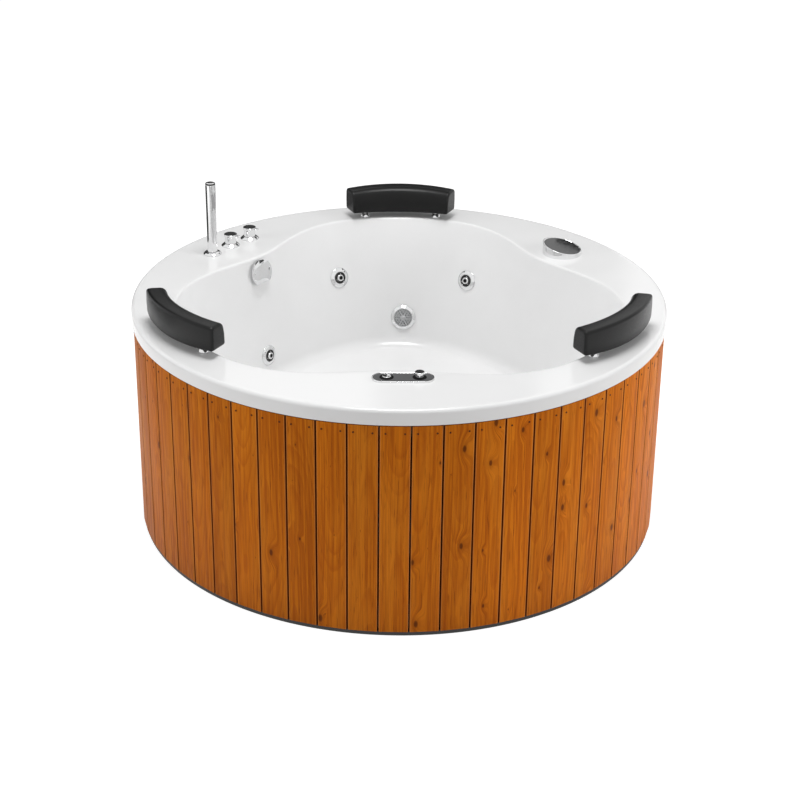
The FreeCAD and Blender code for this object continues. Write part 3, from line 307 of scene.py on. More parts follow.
def turned(profile, count=72):
    """Points and faces of a piece turned about its own Z axis, from (radius, height) pairs."""
    points, faces, rings = [], [], []
    for radius, height in held(profile):
        spots = count if radius > WELD else 1
        rings.append([len(points) + step for step in range(spots)])
        points += [polar(radius, 2 * math.pi * step / count, height) for step in range(spots)]
    for low, high in zip(rings, rings[1:]):
        for step in range(count):
            ahead = (step + 1) % count
            loop = [low[step % len(low)], low[ahead % len(low)]]
            loop += [high[ahead % len(high)], high[step % len(high)]]
            faces.append(tuple(dict.fromkeys(loop)))
    return points, [face for face in faces if len(face) > 2]


def moved(form, place):
    return [place @ Vector(point) for point in form[0]], form[1]


def drilled(obj, drills, crease=35):
    """Cuts closed forms out of a piece and keeps the result as its mesh."""
    cutter = piece("drills", "tub", obj.data.materials[0], *drills)
    cutting = obj.modifiers.new("drilled", "BOOLEAN")
    cutting.operation = "DIFFERENCE"
    cutting.solver = "EXACT"
    cutting.object = cutter
    graph = bpy.context.evaluated_depsgraph_get()
    mesh = bpy.data.meshes.new_from_object(obj.evaluated_get(graph))
    obj.modifiers.remove(cutting)
    obj.data = mesh
    bpy.data.objects.remove(cutter)
    smooth(obj, crease)
    return obj


def wall_point(angle, depth):
    return polar(wall_radius(angle, depth), angle, DECK - depth)


def wall_place(angle, depth):
    """Frame on the water side of the wall: Z into the bowl, X level along the wall, Y up."""
    small = 0.001
    along = wall_point(angle + small, depth) - wall_point(angle - small, depth)
    down = wall_point(angle, depth + small) - wall_point(angle, depth - small)
    inward = along.cross(down).normalized()
    if inward.dot(wall_point(angle, depth)) > 0:
        inward = -inward
    level = Vector((0, 0, 1)).cross(inward).normalized()
    turn = Matrix((level, inward.cross(level), inward)).transposed()
    return Matrix.Translation(wall_point(angle, depth)) @ turn.to_4x4()


PROBE_STEP = 15
SEAT_PLAY = 0.00025


def wall_seat(angle, depth, radius):
    """Frame of a flange of that radius that just clears the wall all round."""
    place = wall_place(angle, depth)
    rise = 0.0
    for turn in range(0, 360, PROBE_STEP):
        spot = place @ polar(radius, math.radians(turn), 0)
        stand = math.hypot(spot.x, spot.y) - wall_radius(math.atan2(spot.y, spot.x), DECK - spot.z)
        rise = max(rise, stand)
    return place @ Matrix.Translation((0, 0, rise + SEAT_PLAY))


BACK = math.radians(90)
LOBE_SPREAD = math.radians(117)
JET_SPREAD = math.radians(20.4)
JET_TURN = math.radians(-1.2)
JET_NAMES = ("back_left", "back_right", "left_front", "left_back", "right_back", "right_front", "low")
JET_DEPTH = 0.178
LOW_JET_ANGLE = math.radians(146.5)
LOW_JET_RISE = 0.086
jet_spots = [(BACK + lobe * LOBE_SPREAD + JET_TURN + side * JET_SPREAD, JET_DEPTH)
             for lobe in (0, 1, -1) for side in (1, -1)]
jet_spots.append((LOW_JET_ANGLE, BOWL_DEPTH - LOW_JET_RISE))
FILLER_DEPTH = 0.0505
filler_spot = (math.radians(146.2), FILLER_DEPTH)
SUCTION_RISE = 0.092
suction_spot = (math.radians(88.7), BOWL_DEPTH - SUCTION_RISE)
DRAIN_REACH = 0.22
drain_place = Matrix.Translation(polar(DRAIN_REACH, math.radians(120), FLOOR))
TAP_REACH = 0.675
shower_place = Matrix.Translation(polar(TAP_REACH, math.radians(151.4), DECK))
tap_places = {"hot": Matrix.Translation(polar(TAP_REACH, math.radians(143.4), DECK)),
              "cold": Matrix.Translation(polar(TAP_REACH, math.radians(136.1), DECK))}
PLATE_ANGLE = math.radians(271.2)
PLATE_REACH = 0.6
CONTROL_OFFSET = 0.045
plate_spot = polar(PLATE_REACH, PLATE_ANGLE, DECK)
plate_place = Matrix.Translation(plate_spot) @ Matrix.Rotation(PLATE_ANGLE - FRONT, 4, "Z")
button_place = plate_place @ Matrix.Translation((-CONTROL_OFFSET, 0, 0))
knob_place = plate_place @ Matrix.Translation((CONTROL_OFFSET, 0, 0))
PANEL_TURN = math.radians(165)
PANEL_REACH = 0.634
panel_spot = polar(PANEL_REACH, math.radians(35.5), DECK)
panel_place = Matrix.Translation(panel_spot) @ Matrix.Rotation(PANEL_TURN, 4, "Z")
HEADREST_BEND = 0.39
HEADREST_SPREAD = math.radians(119.3)
HEADREST_SKEW = math.radians(7.5)
PIN_OFFSET = 0.118
PIN_SWING = math.asin(PIN_OFFSET / HEADREST_BEND)
HEADREST_SEATS = (("back", 0, 0.708), ("left", 1, 0.722), ("right", -1, 0.722))
headrest_places = {}
for side_name, side, seat_radius in HEADREST_SEATS:
    seat_angle = BACK + side * HEADREST_SPREAD
    facing = Matrix.Rotation(seat_angle + side * HEADREST_SKEW, 4, "Z")
    middle = facing @ Matrix.Translation((-HEADREST_BEND, 0, 0))
    headrest_places[side_name] = Matrix.Translation(polar(seat_radius, seat_angle, DECK)) @ middle
pin_places = [place @ Matrix.Translation(polar(HEADREST_BEND, side * PIN_SWING, 0))
              for place in headrest_places.values() for side in (1, -1)]
DRILL_REACH = 0.04
DRILL_PLAY = 0.0003
BORES = {"jet": 0.0215, "filler": 0.024, "suction": 0.031, "drain": 0.026, "shower": 0.017, "panel": 0.026,
         "tap": 0.015, "button": 0.019, "knob": 0.018, "pin": 0.007}


def rod(radius, low, high, count=48):
    """A plain closed cylinder."""
    return turned([(0, low), (radius, low), (radius, high), (0, high)], count)


def drill(place, fitting):
    return moved(rod(BORES[fitting] + DRILL_PLAY, -DRILL_REACH, DRILL_REACH), place)


acrylic = mottled(finish("white_acrylic", IOR=1.49), grain=7, gloss=(0.14, 0.18), relief=0.04,
                  tones=(grey(0.855), grey(0.87)))
SHELL_STEPS = 480
shell_turns = [2 * math.pi * step / SHELL_STEPS for step in range(SHELL_STEPS)]
shell_form = lofted([shell_section(angle) for angle in shell_turns],
                    lambda row, spot: polar(spot[0], shell_turns[row], spot[1]))
shell = piece("acrylic_shell", "tub", acrylic, shell_form)
shell_drills = [drill(wall_place(*spot), "jet") for spot in jet_spots]
shell_drills += [drill(wall_place(*filler_spot), "filler"), drill(wall_place(*suction_spot), "suction")]
shell_drills += [drill(drain_place, "drain"), drill(shower_place, "shower"), drill(panel_place, "panel")]
shell_drills += [drill(place, "tap") for place in tap_places.values()]
shell_drills += [drill(button_place, "button"), drill(knob_place, "knob")]
shell_drills += [drill(place, "pin") for place in pin_places]
drilled(shell, shell_drills)
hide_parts("tub_shell")

# Hoops and studs: two bent plywood hoops and twelve uprights that carry the boards and the rim.
# They stay raw, since only the seams between the boards show them.
dress(plywood, "upper_hoop", "lower_hoop", "skirt_studs")

# Base strip: a black plastic ring, 13 mm high, that lifts the ends of the boards off the wet floor.
# It is set back a little from the boards, so only its shadow line shows.
black_plastic = mottled(finish("black_plastic"), grain=420, gloss=(0.42, 0.6), relief=0.2,
                        tones=(grey(0.012), grey(0.02)))
STRIP_OUTER = 0.793
STRIP_INNER = 0.761
STRIP_HEIGHT = 0.013
STRIP_EASE = 0.0015
strip_middle = (STRIP_INNER + STRIP_OUTER) / 2
strip_edge = [(strip_middle, 0), (STRIP_OUTER, 0), (STRIP_OUTER, STRIP_HEIGHT), (STRIP_INNER, STRIP_HEIGHT),
              (STRIP_INNER, 0), (strip_middle, 0)]
strip = piece("base_strip", "tub", black_plastic, turned(eased(strip_edge, STRIP_EASE, 3), 360))
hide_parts("base_plinth")

# Plank skirt: 58 flat boards of orange-brown stained pine with eased edges, nailed to the upper hoop.
# Each board has its own tone, grain and knots, and a dark seam is left between neighbours.
# Painted side light makes the boards on the right of the tub lighter and those on the left darker.
BOARD_COUNT = 58
BOARD_FACE_RADIUS = 0.797
BOARD_GAP = 0.0035
BOARD_THICKNESS = 0.02
BOARD_EASE = 0.0025
BOARD_BOTTOM = STRIP_HEIGHT
BOARD_PLAY = 0.0005
BOARD_TOP = DECK - RIM_HEIGHT - BOARD_PLAY
BOARD_END_EASE = 0.001
BOARD_PHASE = math.radians(2.62)
board_step = 2 * math.pi / BOARD_COUNT
front_half = BOARD_FACE_RADIUS * math.sin(board_step / 2) - BOARD_GAP / 2
board_face = math.sqrt(BOARD_FACE_RADIUS ** 2 - front_half ** 2)
board_back = board_face - BOARD_THICKNESS
back_half = board_back * math.tan(board_step / 2) - BOARD_GAP / 2
# depth of the dark band painted at the top of each board as the shade under the rim's lip
LIP_SHADE_BAND = (0.0045, 0.002)
WOOD_TONES = {"streak": (0.29, 0.063, 0.0034), "pale_cloud": (0.55, 0.185, 0.014),
              "fibre": (0.27, 0.058, 0.003), "dash": (0.17, 0.036, 0.0026),
              "knot_halo": (0.25, 0.058, 0.0032), "knot": (0.075, 0.017, 0.0022),
              "edge_highlight": (0.62, 0.27, 0.085), "seam": (0.1, 0.016, 0.002),
              "lip_shade": (0.05, 0.012, 0.002)}


def stained_pine():
    """Pine under a see-through stain: straight fibres, growth rings, knots with bent grain, painted highlight
    on the edges.
    """
    pine = finish("stained_pine", Specular_IOR_Level=0.04)
    grain = shade(pine, "Attribute")
    grain.attribute_name = "board_grain"
    place = shade(pine, "Attribute")
    place.attribute_name = "board_place"
    rise = shade(pine, "Attribute")
    rise.attribute_name = "board_rise"
    spot = shade(pine, "SeparateXYZ", Vector=grain.outputs["Vector"]).outputs
    where = shade(pine, "SeparateXYZ", Vector=place.outputs["Vector"]).outputs

    def times(first, second):
        return number(pine, "MULTIPLY", first, second)

    def vector(across, depth, along):
        return shade(pine, "CombineXYZ", X=across, Y=depth, Z=along).outputs[0]

    def mixed(share, first, second, mode="MIX"):
        made = shade(pine, "Mix")
        made.data_type = "RGBA"
        made.blend_type = mode
        feed(pine, made, 0, share)
        feed(pine, made, 6, first)
        feed(pine, made, 7, second)
        return made.outputs[2]

    def streaks(across, along, detail):
        """Noise drawn out along the board, in marks for each metre across and along."""
        drawn = vector(times(bent, across), times(spot["Y"], across), times(spot["Z"], along))
        return shade(pine, "TexNoise", Vector=drawn, Scale=1.0, Detail=detail, Roughness=0.6).outputs[0]

    # knots, one in each cell about 80 mm across and 170 mm along, some too small to show
    grid = vector(times(spot["X"], 12.0), times(spot["Z"], 6.0), 0.0)
    cells = shade(pine, "TexVoronoi", Vector=grid, Scale=1.0)
    cells.voronoi_dimensions = "2D"
    luck = shade(pine, "SeparateColor", Color=cells.outputs["Color"]).outputs
    knot_size = span(pine, luck[0], (0.3, 1.0), (0.006, 0.075))
    nearness = number(pine, "DIVIDE", cells.outputs["Distance"], knot_size)
    knot = span(pine, nearness, (1.3, 0.6), (0.0, 1.0))
    halo = span(pine, nearness, (3.4, 0.9), (0.0, 1.0))
    swerve = times(span(pine, nearness, (6.0, 0.4), (0.0, 0.32)), knot_size)

    # growth rings round a pith that wanders behind the board
    wander = shade(pine, "TexNoise", Vector=vector(0.0, 0.0, spot["Z"]), Scale=1.3, Detail=1.0).outputs[0]
    pith = span(pine, wander, (0.25, 0.75), (0.03, 0.09))
    sway = times(number(pine, "SUBTRACT", wander, 0.5), 0.03)
    bent = number(pine, "ADD", number(pine, "ADD", where["X"], sway), swerve)
    log = vector(bent, number(pine, "ADD", pith, spot["Y"]), times(spot["Z"], 0.04))
    rings = shade(pine, "TexWave", Vector=log, Scale=40.0, Distortion=1.6, Detail=2.0, Detail_Scale=0.8,
                  Detail_Roughness=0.55)
    rings.wave_type = "RINGS"
    rings.rings_direction = "Z"
    rings.wave_profile = "SAW"
    fibre = streaks(380.0, 6.0, 2.0)
    dash = streaks(210.0, 11.0, 2.0)
    streak = streaks(120.0, 1.6, 3.0)
    cloud = streaks(16.0, 2.2, 2.0)

    wood = ramp(pine, rings.outputs[1], (0.0, (0.5, 0.143, 0.0066)), (0.6, (0.46, 0.126, 0.0056)),
                (0.88, (0.41, 0.105, 0.0046)), (1.0, (0.45, 0.121, 0.0053)))
    # painted highlight: the eased edges of each board are made paler, as if catching the light
    edge = number(pine, "ABSOLUTE", where["Y"])
    # painted shade: the top few millimetres of each board are darkened as the shade under the rim
    lip_shade = (BOARD_TOP - LIP_SHADE_BAND[0], BOARD_TOP - LIP_SHADE_BAND[1])
    layers = {"streak": span(pine, streak, (0.42, 0.64), (0.0, 0.72)),
              "pale_cloud": span(pine, cloud, (0.42, 0.7), (0.0, 0.45)),
              "fibre": span(pine, fibre, (0.42, 0.7), (0.0, 0.42)),
              "dash": span(pine, dash, (0.58, 0.7), (0.0, 0.6)),
              "knot_halo": times(halo, 0.4),
              "knot": times(knot, 0.85),
              "edge_highlight": span(pine, edge, (0.9, 0.965), (0.0, 0.34)),
              "seam": span(pine, edge, (0.965, 0.985), (0.0, 0.9)),
              "lip_shade": span(pine, rise.outputs["Fac"], lip_shade, (0.0, 0.85))}
    for layer, share in layers.items():
        wood = mixed(share, wood, (*WOOD_TONES[layer], 1))
    # the board's tone holds painted side light as well as its random tone
    tone = where["Z"]
    board_tone_and_side_light = shade(pine, "CombineColor", Red=tone, Green=tone, Blue=tone).outputs[0]
    shader = shader_of(pine)
    feed(pine, shader, "Base Color", mixed(1.0, wood, board_tone_and_side_light, "MULTIPLY"))
    feed(pine, shader, "Roughness", span(pine, fibre, (0.3, 0.75), (0.42, 0.58)))
    height = number(pine, "ADD", times(fibre, 0.5), times(rings.outputs[1], 0.2))
    height = number(pine, "SUBTRACT", height, knot)
    bump = shade(pine, "Bump", Strength=0.22, Distance=0.0005, Height=height)
    feed(pine, shader, "Normal", bump.outputs["Normal"])
    return pine


def capped(sections, place):
    """A skin over a row of sections, closed by one face at each end."""
    points, faces = lofted(sections, place, closed=False)
    size = len(sections[0])
    return points, faces + [tuple(range(size)), tuple(range(len(points) - size, len(points)))]


def board_form(turn):
    """One board with rounded front edges and slightly eased ends, and its points before it is turned."""
    side = eased([(board_back, 0), (board_back, back_half), (board_face, front_half), (board_face, 0)],
                 BOARD_EASE, 4)[1:-1]
    outline = [(x, -y) for x, y in side] + [(x, y) for x, y in reversed(side)]
    middle = (board_face + board_back) / 2
    levels = ((BOARD_BOTTOM, BOARD_END_EASE), (BOARD_BOTTOM + BOARD_END_EASE, 0),
              (BOARD_TOP - 5 * BOARD_END_EASE, 0), (BOARD_TOP - BOARD_END_EASE, 0),
              (BOARD_TOP, BOARD_END_EASE))
    rows = []
    for height, inset in levels:
        thinner = 1 - inset / (BOARD_THICKNESS / 2)
        narrower = 1 - inset / front_half
        rows.append([(middle + (x - middle) * thinner, y * narrower, height) for x, y in outline])
    spin = Matrix.Rotation(turn, 4, "Z")
    return capped(rows, lambda row, spot: spin @ Vector(spot)), sum(rows, [])


pine = stained_pine()
board_luck = random.Random(BOARD_COUNT)
TONE_RANGE = (1.26, 1.48)
# how much painted side light lightens the boards on the right and darkens those on the left
SIDE_LIGHT_TONE = 0.22
SHIFT_ACROSS = 4
SHIFT_ALONG = 9
PITH_SHIFT = 0.6
board_turns = [FRONT + BOARD_PHASE + board_step * (step + 0.5) for step in range(BOARD_COUNT)]
board_tones_and_side_light = [board_luck.uniform(*TONE_RANGE) + SIDE_LIGHT_TONE * math.cos(turn) for turn in board_turns]
board_shifts = [(board_luck.uniform(-SHIFT_ACROSS, SHIFT_ACROSS),
                 board_luck.uniform(-SHIFT_ALONG, SHIFT_ALONG)) for turn in board_turns]
half_count = BOARD_COUNT // 2
front_rows = list(range(-(half_count // 2), half_count - half_count // 2))
back_rows = list(range(half_count - half_count // 2, BOARD_COUNT - half_count // 2))
for side_name, rows in (("front", front_rows), ("back", back_rows)):
    forms, grains, places, rises = [], [], [], []
    for row in rows:
        form, spots = board_form(board_turns[row])
        forms.append(form)
        shift_across, shift_along = board_shifts[row]
        for x, y, z in spots:
            grains += [y + shift_across, x - board_face, z + shift_along]
            places += [y + PITH_SHIFT * front_half * math.sin(shift_along), y / front_half, board_tones_and_side_light[row]]
            rises.append(z)
    boards = piece("skirt_boards_" + side_name, "tub", pine, *forms, crease=50)
    for attribute_name, numbers in (("board_grain", grains), ("board_place", places)):
        attribute = boards.data.attributes.new(attribute_name, "FLOAT_VECTOR", "POINT")
        attribute.data.foreach_set("vector", numbers)
    attribute = boards.data.attributes.new("board_rise", "FLOAT", "POINT")
    attribute.data.foreach_set("value", rises)
    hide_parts("skirt_planks_" + side_name)
nail_steel = mottled(finish("nail_heads", Specular_IOR_Level=0.1), grain=900, gloss=(0.5, 0.65), relief=0.2,
                     tones=((0.06, 0.018, 0.005), (0.1, 0.03, 0.008)))
dress(nail_steel, "plank_nails")

# Headrests: three black moulded cushions of soft polyurethane with a fine leather-like skin.
# Each is bowed with the deck and stands on two chrome pins with round rosettes.
HEADREST_HALF = 0.174
HEADREST_LIFT = 0.029
HEADREST_END = 0.007
HEADREST_DEPTH = 0.066
HEADREST_HEIGHT = 0.066
HEADREST_CROWN = 0.005
HEADREST_LEAN = 0.009
FRONT_ROUND = 0.026
BACK_ROUND = 0.013
FOOT_ROUND = 0.006
FACE_FULLNESS = 0.0012
CREST_BACK = 0.016
UNDERSIDE_FULLNESS = 0.005


def headrest_outline(station):
    """Rounded outline across the cushion at one place along it: pairs of reach outwards and height."""
    into_end = max(0.0, (abs(station) * HEADREST_HALF - HEADREST_HALF + HEADREST_END) / HEADREST_END)
    draw_in = HEADREST_END * (1 - math.sqrt(max(0.0, 1 - into_end ** 2)))
    half = HEADREST_DEPTH / 2 - draw_in
    low = draw_in - UNDERSIDE_FULLNESS * (2 - station ** 2)
    high = HEADREST_HEIGHT + HEADREST_CROWN * (1 - station ** 2) - draw_in
    waist = (low + high) / 2
    back_waist = (half + FACE_FULLNESS, waist)
    front_waist = (HEADREST_LEAN / 3 - half - FACE_FULLNESS, waist)
    front_top = (HEADREST_LEAN - half, high)
    crest = (CREST_BACK, high + FACE_FULLNESS)
    outline = eased([(0, low), (half, low), back_waist], FOOT_ROUND, 5)[:-1]
    outline += eased([back_waist, (half, high), crest], BACK_ROUND, 7)[:-1]
    outline += eased([crest, front_top, front_waist], FRONT_ROUND, 9)[:-1]
    outline += eased([front_waist, (-half, low), (0, low)], FOOT_ROUND, 5)[:-1]
    return outline


def headrest_skin():
    skin = finish("headrest_skin", Specular_IOR_Level=0.26)
    place = shade(skin, "TexCoord").outputs["Object"]
    pores = shade(skin, "TexVoronoi", Vector=place, Scale=620.0)
    pores.feature = "DISTANCE_TO_EDGE"
    cloud = shade(skin, "TexNoise", Vector=place, Scale=24.0, Detail=5.0).outputs[0]
    shader = shader_of(skin)
    tones = ((0.0036, 0.0036, 0.0037), (0.0046, 0.0046, 0.0045))
    feed(skin, shader, "Base Color", ramp(skin, cloud, *zip(GLOSS_BAND, tones)))
    feed(skin, shader, "Roughness", span(skin, cloud, GLOSS_BAND, (0.28, 0.31)))
    creases = span(skin, pores.outputs["Distance"], (0.0, 0.12), (0.0, 1.0))
    bump = shade(skin, "Bump", Strength=0.15, Distance=0.0003, Height=creases)
    feed(skin, shader, "Normal", bump.outputs["Normal"])
    return skin


cushion_skin = headrest_skin()
station_count = 64
stations = [math.sin(math.pi * (step / station_count - 0.5)) for step in range(station_count + 1)]
END_RINGS = (0.8, 0.55, 0.3, 0.05)
outlines = [headrest_outline(station) for station in stations]
end_middle = sum(y for x, y in outlines[0]) / len(outlines[0])
end_caps = [[(x * share, end_middle + (y - end_middle) * share) for x, y in outlines[0]]
            for share in END_RINGS]
cushion_rows = end_caps[::-1] + outlines + end_caps
cushion_stations = [-1.0] * len(END_RINGS) + stations + [1.0] * len(END_RINGS)
for side_name, place in headrest_places.items():
    def on_deck(row, spot, place=place):
        angle = cushion_stations[row] * HEADREST_HALF / HEADREST_BEND
        return place @ polar(HEADREST_BEND + spot[0], angle, HEADREST_LIFT + spot[1])

    form = capped(cushion_rows, on_deck)
    cushion = piece("headrest_cushion_" + side_name, "tub", cushion_skin, form, crease=60)
    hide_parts("headrest_" + side_name)

# polished chrome, used on all the bright fittings
chrome = mottled(finish("polished_chrome", Metallic=1.0), grain=160, gloss=(0.035, 0.07), relief=0.01,
                 tones=((0.74, 0.742, 0.745), (0.79, 0.792, 0.795)))
PIN_RADIUS = BORES["pin"]
PIN_FOOT = -0.036
PIN_TOP = 0.062
pin_profile = eased([(0, PIN_FOOT), (PIN_RADIUS, PIN_FOOT), (PIN_RADIUS, PIN_TOP), (0, PIN_TOP)], 0.0008, 3)
pins = piece("cushion_pins", "tub", chrome, *[moved(turned(pin_profile, 40), place) for place in pin_places])
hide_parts("headrest_pins")
ROSETTE_BORE = 0.0071
ROSETTE_RADIUS = 0.0155
rosette_profile = eased([(ROSETTE_BORE, 0), (ROSETTE_RADIUS, 0), (ROSETTE_RADIUS, 0.004), (0.011, 0.012),
                         (ROSETTE_BORE, 0.012), (ROSETTE_BORE, 0)], 0.0016, 4)
rosettes = piece("pin_rosettes", "tub", chrome,
                 *[moved(turned(rosette_profile, 48), place) for place in pin_places])
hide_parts("headrest_rosettes")

# Hand shower: a slim chrome stick that stands in a round deck socket and lifts out.
# It has an end cap whose black side is painted shade at the joint, and a grey rubber spray plate with small
# nubs on the bather's side.
SPRAY_TURN = math.radians(-50)
SPIGOT = 0.055
STICK = 0.221
STICK_FOOT = 0.0103
SOCKET_BORE = 0.0121
SOCKET_RADIUS = 0.029
SOCKET_DEPTH = -0.07
shower_base = shower_place @ Matrix.Translation((0, 0, STICK_FOOT - SPIGOT))
socket_profile = eased([(SOCKET_BORE, SOCKET_DEPTH), (BORES["shower"], SOCKET_DEPTH), (BORES["shower"], 0),
                        (SOCKET_RADIUS, 0), (SOCKET_RADIUS, 0.003), (0.0245, 0.0075), (0.0175, 0.01),
                        (SOCKET_BORE, 0.01), (SOCKET_BORE, SOCKET_DEPTH)], 0.0025)
socket = piece("shower_socket_ring", "tub", chrome, moved(turned(socket_profile), shower_place))
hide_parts("shower_socket")
SPIGOT_RADIUS = 0.012
STICK_FOOT_RADIUS = 0.0152
STICK_TOP_RADIUS = 0.0158
stick_profile = [(0, 0), (SPIGOT_RADIUS, 0), (SPIGOT_RADIUS, SPIGOT), (STICK_FOOT_RADIUS, SPIGOT),
                 (STICK_TOP_RADIUS, SPIGOT + STICK), (0, SPIGOT + STICK)]
stick = piece("shower_stick", "hand_shower", chrome, moved(turned(eased(stick_profile, 0.0008)), shower_base))
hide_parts("hand_shower")
CAP_SHOULDER = 0.0046
cap_profile = eased([(0, 0), (STICK_TOP_RADIUS, 0), (STICK_TOP_RADIUS, 0.002), (0.0148, CAP_SHOULDER),
                     (0.009, 0.0056), (0, 0.006)], 0.002)
cap_place = shower_base @ Matrix.Translation((0, 0, SPIGOT + STICK))
cap = piece("shower_end_cap", "hand_shower", black_plastic, moved(turned(cap_profile), cap_place))


def faced(obj, material, place, chosen):
    """Gives a second finish to the faces whose middle, measured from a place, is chosen."""
    obj.data.materials.append(material)
    measure = place.inverted()
    for face in obj.data.polygons:
        if chosen(measure @ face.center):
            face.material_index = 1


# the cap's domed top is chrome; its side stays black as painted shade for the dark joint line under the dome
faced(cap, chrome, cap_place, lambda spot: spot.z > CAP_SHOULDER)
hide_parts("shower_cap")


def slab_outline(half_length, half_width, corner, steps=8):
    """Outline of a rectangle with round corners, as pairs along and across."""
    made = []
    for along, across, start in ((1, 1, 0), (-1, 1, 90), (-1, -1, 180), (1, -1, 270)):
        for step in range(steps + 1):
            angle = math.radians(start + 90 * step / steps)
            made.append((along * (half_length - corner) + corner * math.cos(angle),
                         across * (half_width - corner) + corner * math.sin(angle)))
    return made


SPRAY_RADIUS = 0.01585
SPRAY_HALF_WIDTH = 0.0074
SPRAY_HALF_HEIGHT = 0.0299
SPRAY_CORNER = 0.0035
SPRAY_DROP = 0.052
NUB_COLUMN = 0.0045
NUB_ROW = 0.005
NUB_ROWS = range(-5, 6)
spray_middle = SPIGOT + STICK - SPRAY_DROP
spray_rim = slab_outline(SPRAY_HALF_WIDTH, SPRAY_HALF_HEIGHT, SPRAY_CORNER)
spray_levels = ((1.0, -0.0035), (1.0, -0.0004), (0.97, -0.0001), (0.92, 0.0), (0.6, 0.0), (0.3, 0.0),
                (0.02, 0.0))


def on_stick(across, up, out):
    """A place on the spray plate, wrapped round the stick."""
    angle = SPRAY_TURN + math.asin(max(-1.0, min(1.0, across / SPRAY_RADIUS)))
    return shower_base @ polar(SPRAY_RADIUS + out, angle, spray_middle + up)


spray_rows = [[(x * share, y * share, out) for x, y in spray_rim] for share, out in spray_levels]
spray_form = capped(spray_rows, lambda row, spot: on_stick(*spot))
nub = turned(eased([(0.0009, -0.0003), (0.0007, 0.0005), (0, 0.0005)], 0.0002, 2), 12)
nub_forms = []
for column in (-1, 0, 1):
    for row in NUB_ROWS:
        foot = on_stick(column * NUB_COLUMN, row * NUB_ROW, 0)
        outward = foot - shower_base @ Vector((0, 0, spray_middle + row * NUB_ROW))
        stand = outward.to_track_quat("Z", "Y").to_matrix().to_4x4()
        nub_forms.append(moved(nub, Matrix.Translation(foot) @ stand))
spray_rubber = mottled(finish("spray_rubber"), grain=500, gloss=(0.45, 0.6), relief=0.1,
                       tones=((0.36, 0.36, 0.365), (0.42, 0.42, 0.425)))
spray = piece("shower_spray_plate", "hand_shower", spray_rubber, spray_form, *nub_forms)
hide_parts("shower_spray_face")

# Deck taps: a hot and a cold quarter-turn valve, each with a domed flange and a chrome barrel handle.
# A thin lever comes out under the cap of each handle. The brass valve bodies hang below the deck.
brass = mottled(finish("plain_brass", Metallic=1.0), grain=220, gloss=(0.25, 0.42), relief=0.05,
                tones=((0.6, 0.42, 0.17), (0.74, 0.55, 0.26)))
FLANGE_BORE = 0.0153
flange_profile = eased([(FLANGE_BORE, 0), (0.03, 0), (0.03, 0.0016), (0.0262, 0.0052), (0.0215, 0.009),
                        (FLANGE_BORE, 0.009), (FLANGE_BORE, 0)], 0.0022)
barrel_profile = eased([(0.0061, 0.016), (0.0061, 0), (0.0185, 0), (0.0185, 0.0205), (0.0205, 0.0215),
                        (0.0205, 0.0286), (0.0199, 0.0292), (0, 0.0292)], 0.0005, 3)
LEVER_STATIONS = ((0.012, 0.0035, 0.003), (0.02, 0.0035, 0.003), (0.026, 0.0035, 0.0029),
                  (0.0315, 0.0034, 0.0027), (0.0328, 0.0028, 0.0021), (0.033, 0.0018, 0.0012))
LEVER_HEIGHT = 0.0255
LEVER_ROUND = 0.25
LEVER_TURN = math.radians(-25)
lever_rows = []
for reach, half_width, half_height in LEVER_STATIONS:
    outline = slab_outline(half_width, half_height, LEVER_ROUND * half_height, 4)
    lever_rows.append([(reach, y, LEVER_HEIGHT + z) for y, z in outline])
lever_form = capped(lever_rows, lambda row, spot: Vector(spot))
HANDLE_LIFT = 0.0094
for tap, place in tap_places.items():
    flange = piece(tap + "_tap_rosette", "tub", chrome, moved(turned(flange_profile), place))
    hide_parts(tap + "_tap_flange")
    stand = place @ Matrix.Translation((0, 0, HANDLE_LIFT)) @ Matrix.Rotation(LEVER_TURN, 4, "Z")
    handle = piece(tap + "_tap_lever_handle", tap + "_tap_handle", chrome,
                   moved(turned(barrel_profile), stand), moved(lever_form, stand))
    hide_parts(tap + "_tap_handle")
    dress(brass, tap + "_tap_valve")

# Filler: water runs in behind a chrome dial on the left of the bowl, which also turns the drain open.
# The dial is a crowned disc with its lower edge cut straight; its tube through the wall is light grey PVC.
DIAL_RADIUS = 0.0425
DIAL_FLAT = 0.033
DIAL_SHARPNESS = 26
DIAL_BACK = 0.008
DIAL_RIM = 0.007
DIAL_CROWN = 0.005
DIAL_EASE = 0.0012
DIAL_SHOULDER = 0.9
HUB_RADIUS = 0.01
HUB_LENGTH = 0.034
HUB_SINK = 0.001
pvc = mottled(finish("light_grey_pvc"), grain=45, gloss=(0.3, 0.44), relief=0.05,
              tones=((0.44, 0.45, 0.46), (0.5, 0.51, 0.52)))
dress(pvc, "filler_body")


def dial_edge(angle):
    """Radius of the dial's outline, round but for the straight cut below."""
    drop = max(1e-6, -math.sin(angle))
    return (DIAL_RADIUS ** -DIAL_SHARPNESS + (DIAL_FLAT / drop) ** -DIAL_SHARPNESS) ** (-1 / DIAL_SHARPNESS)


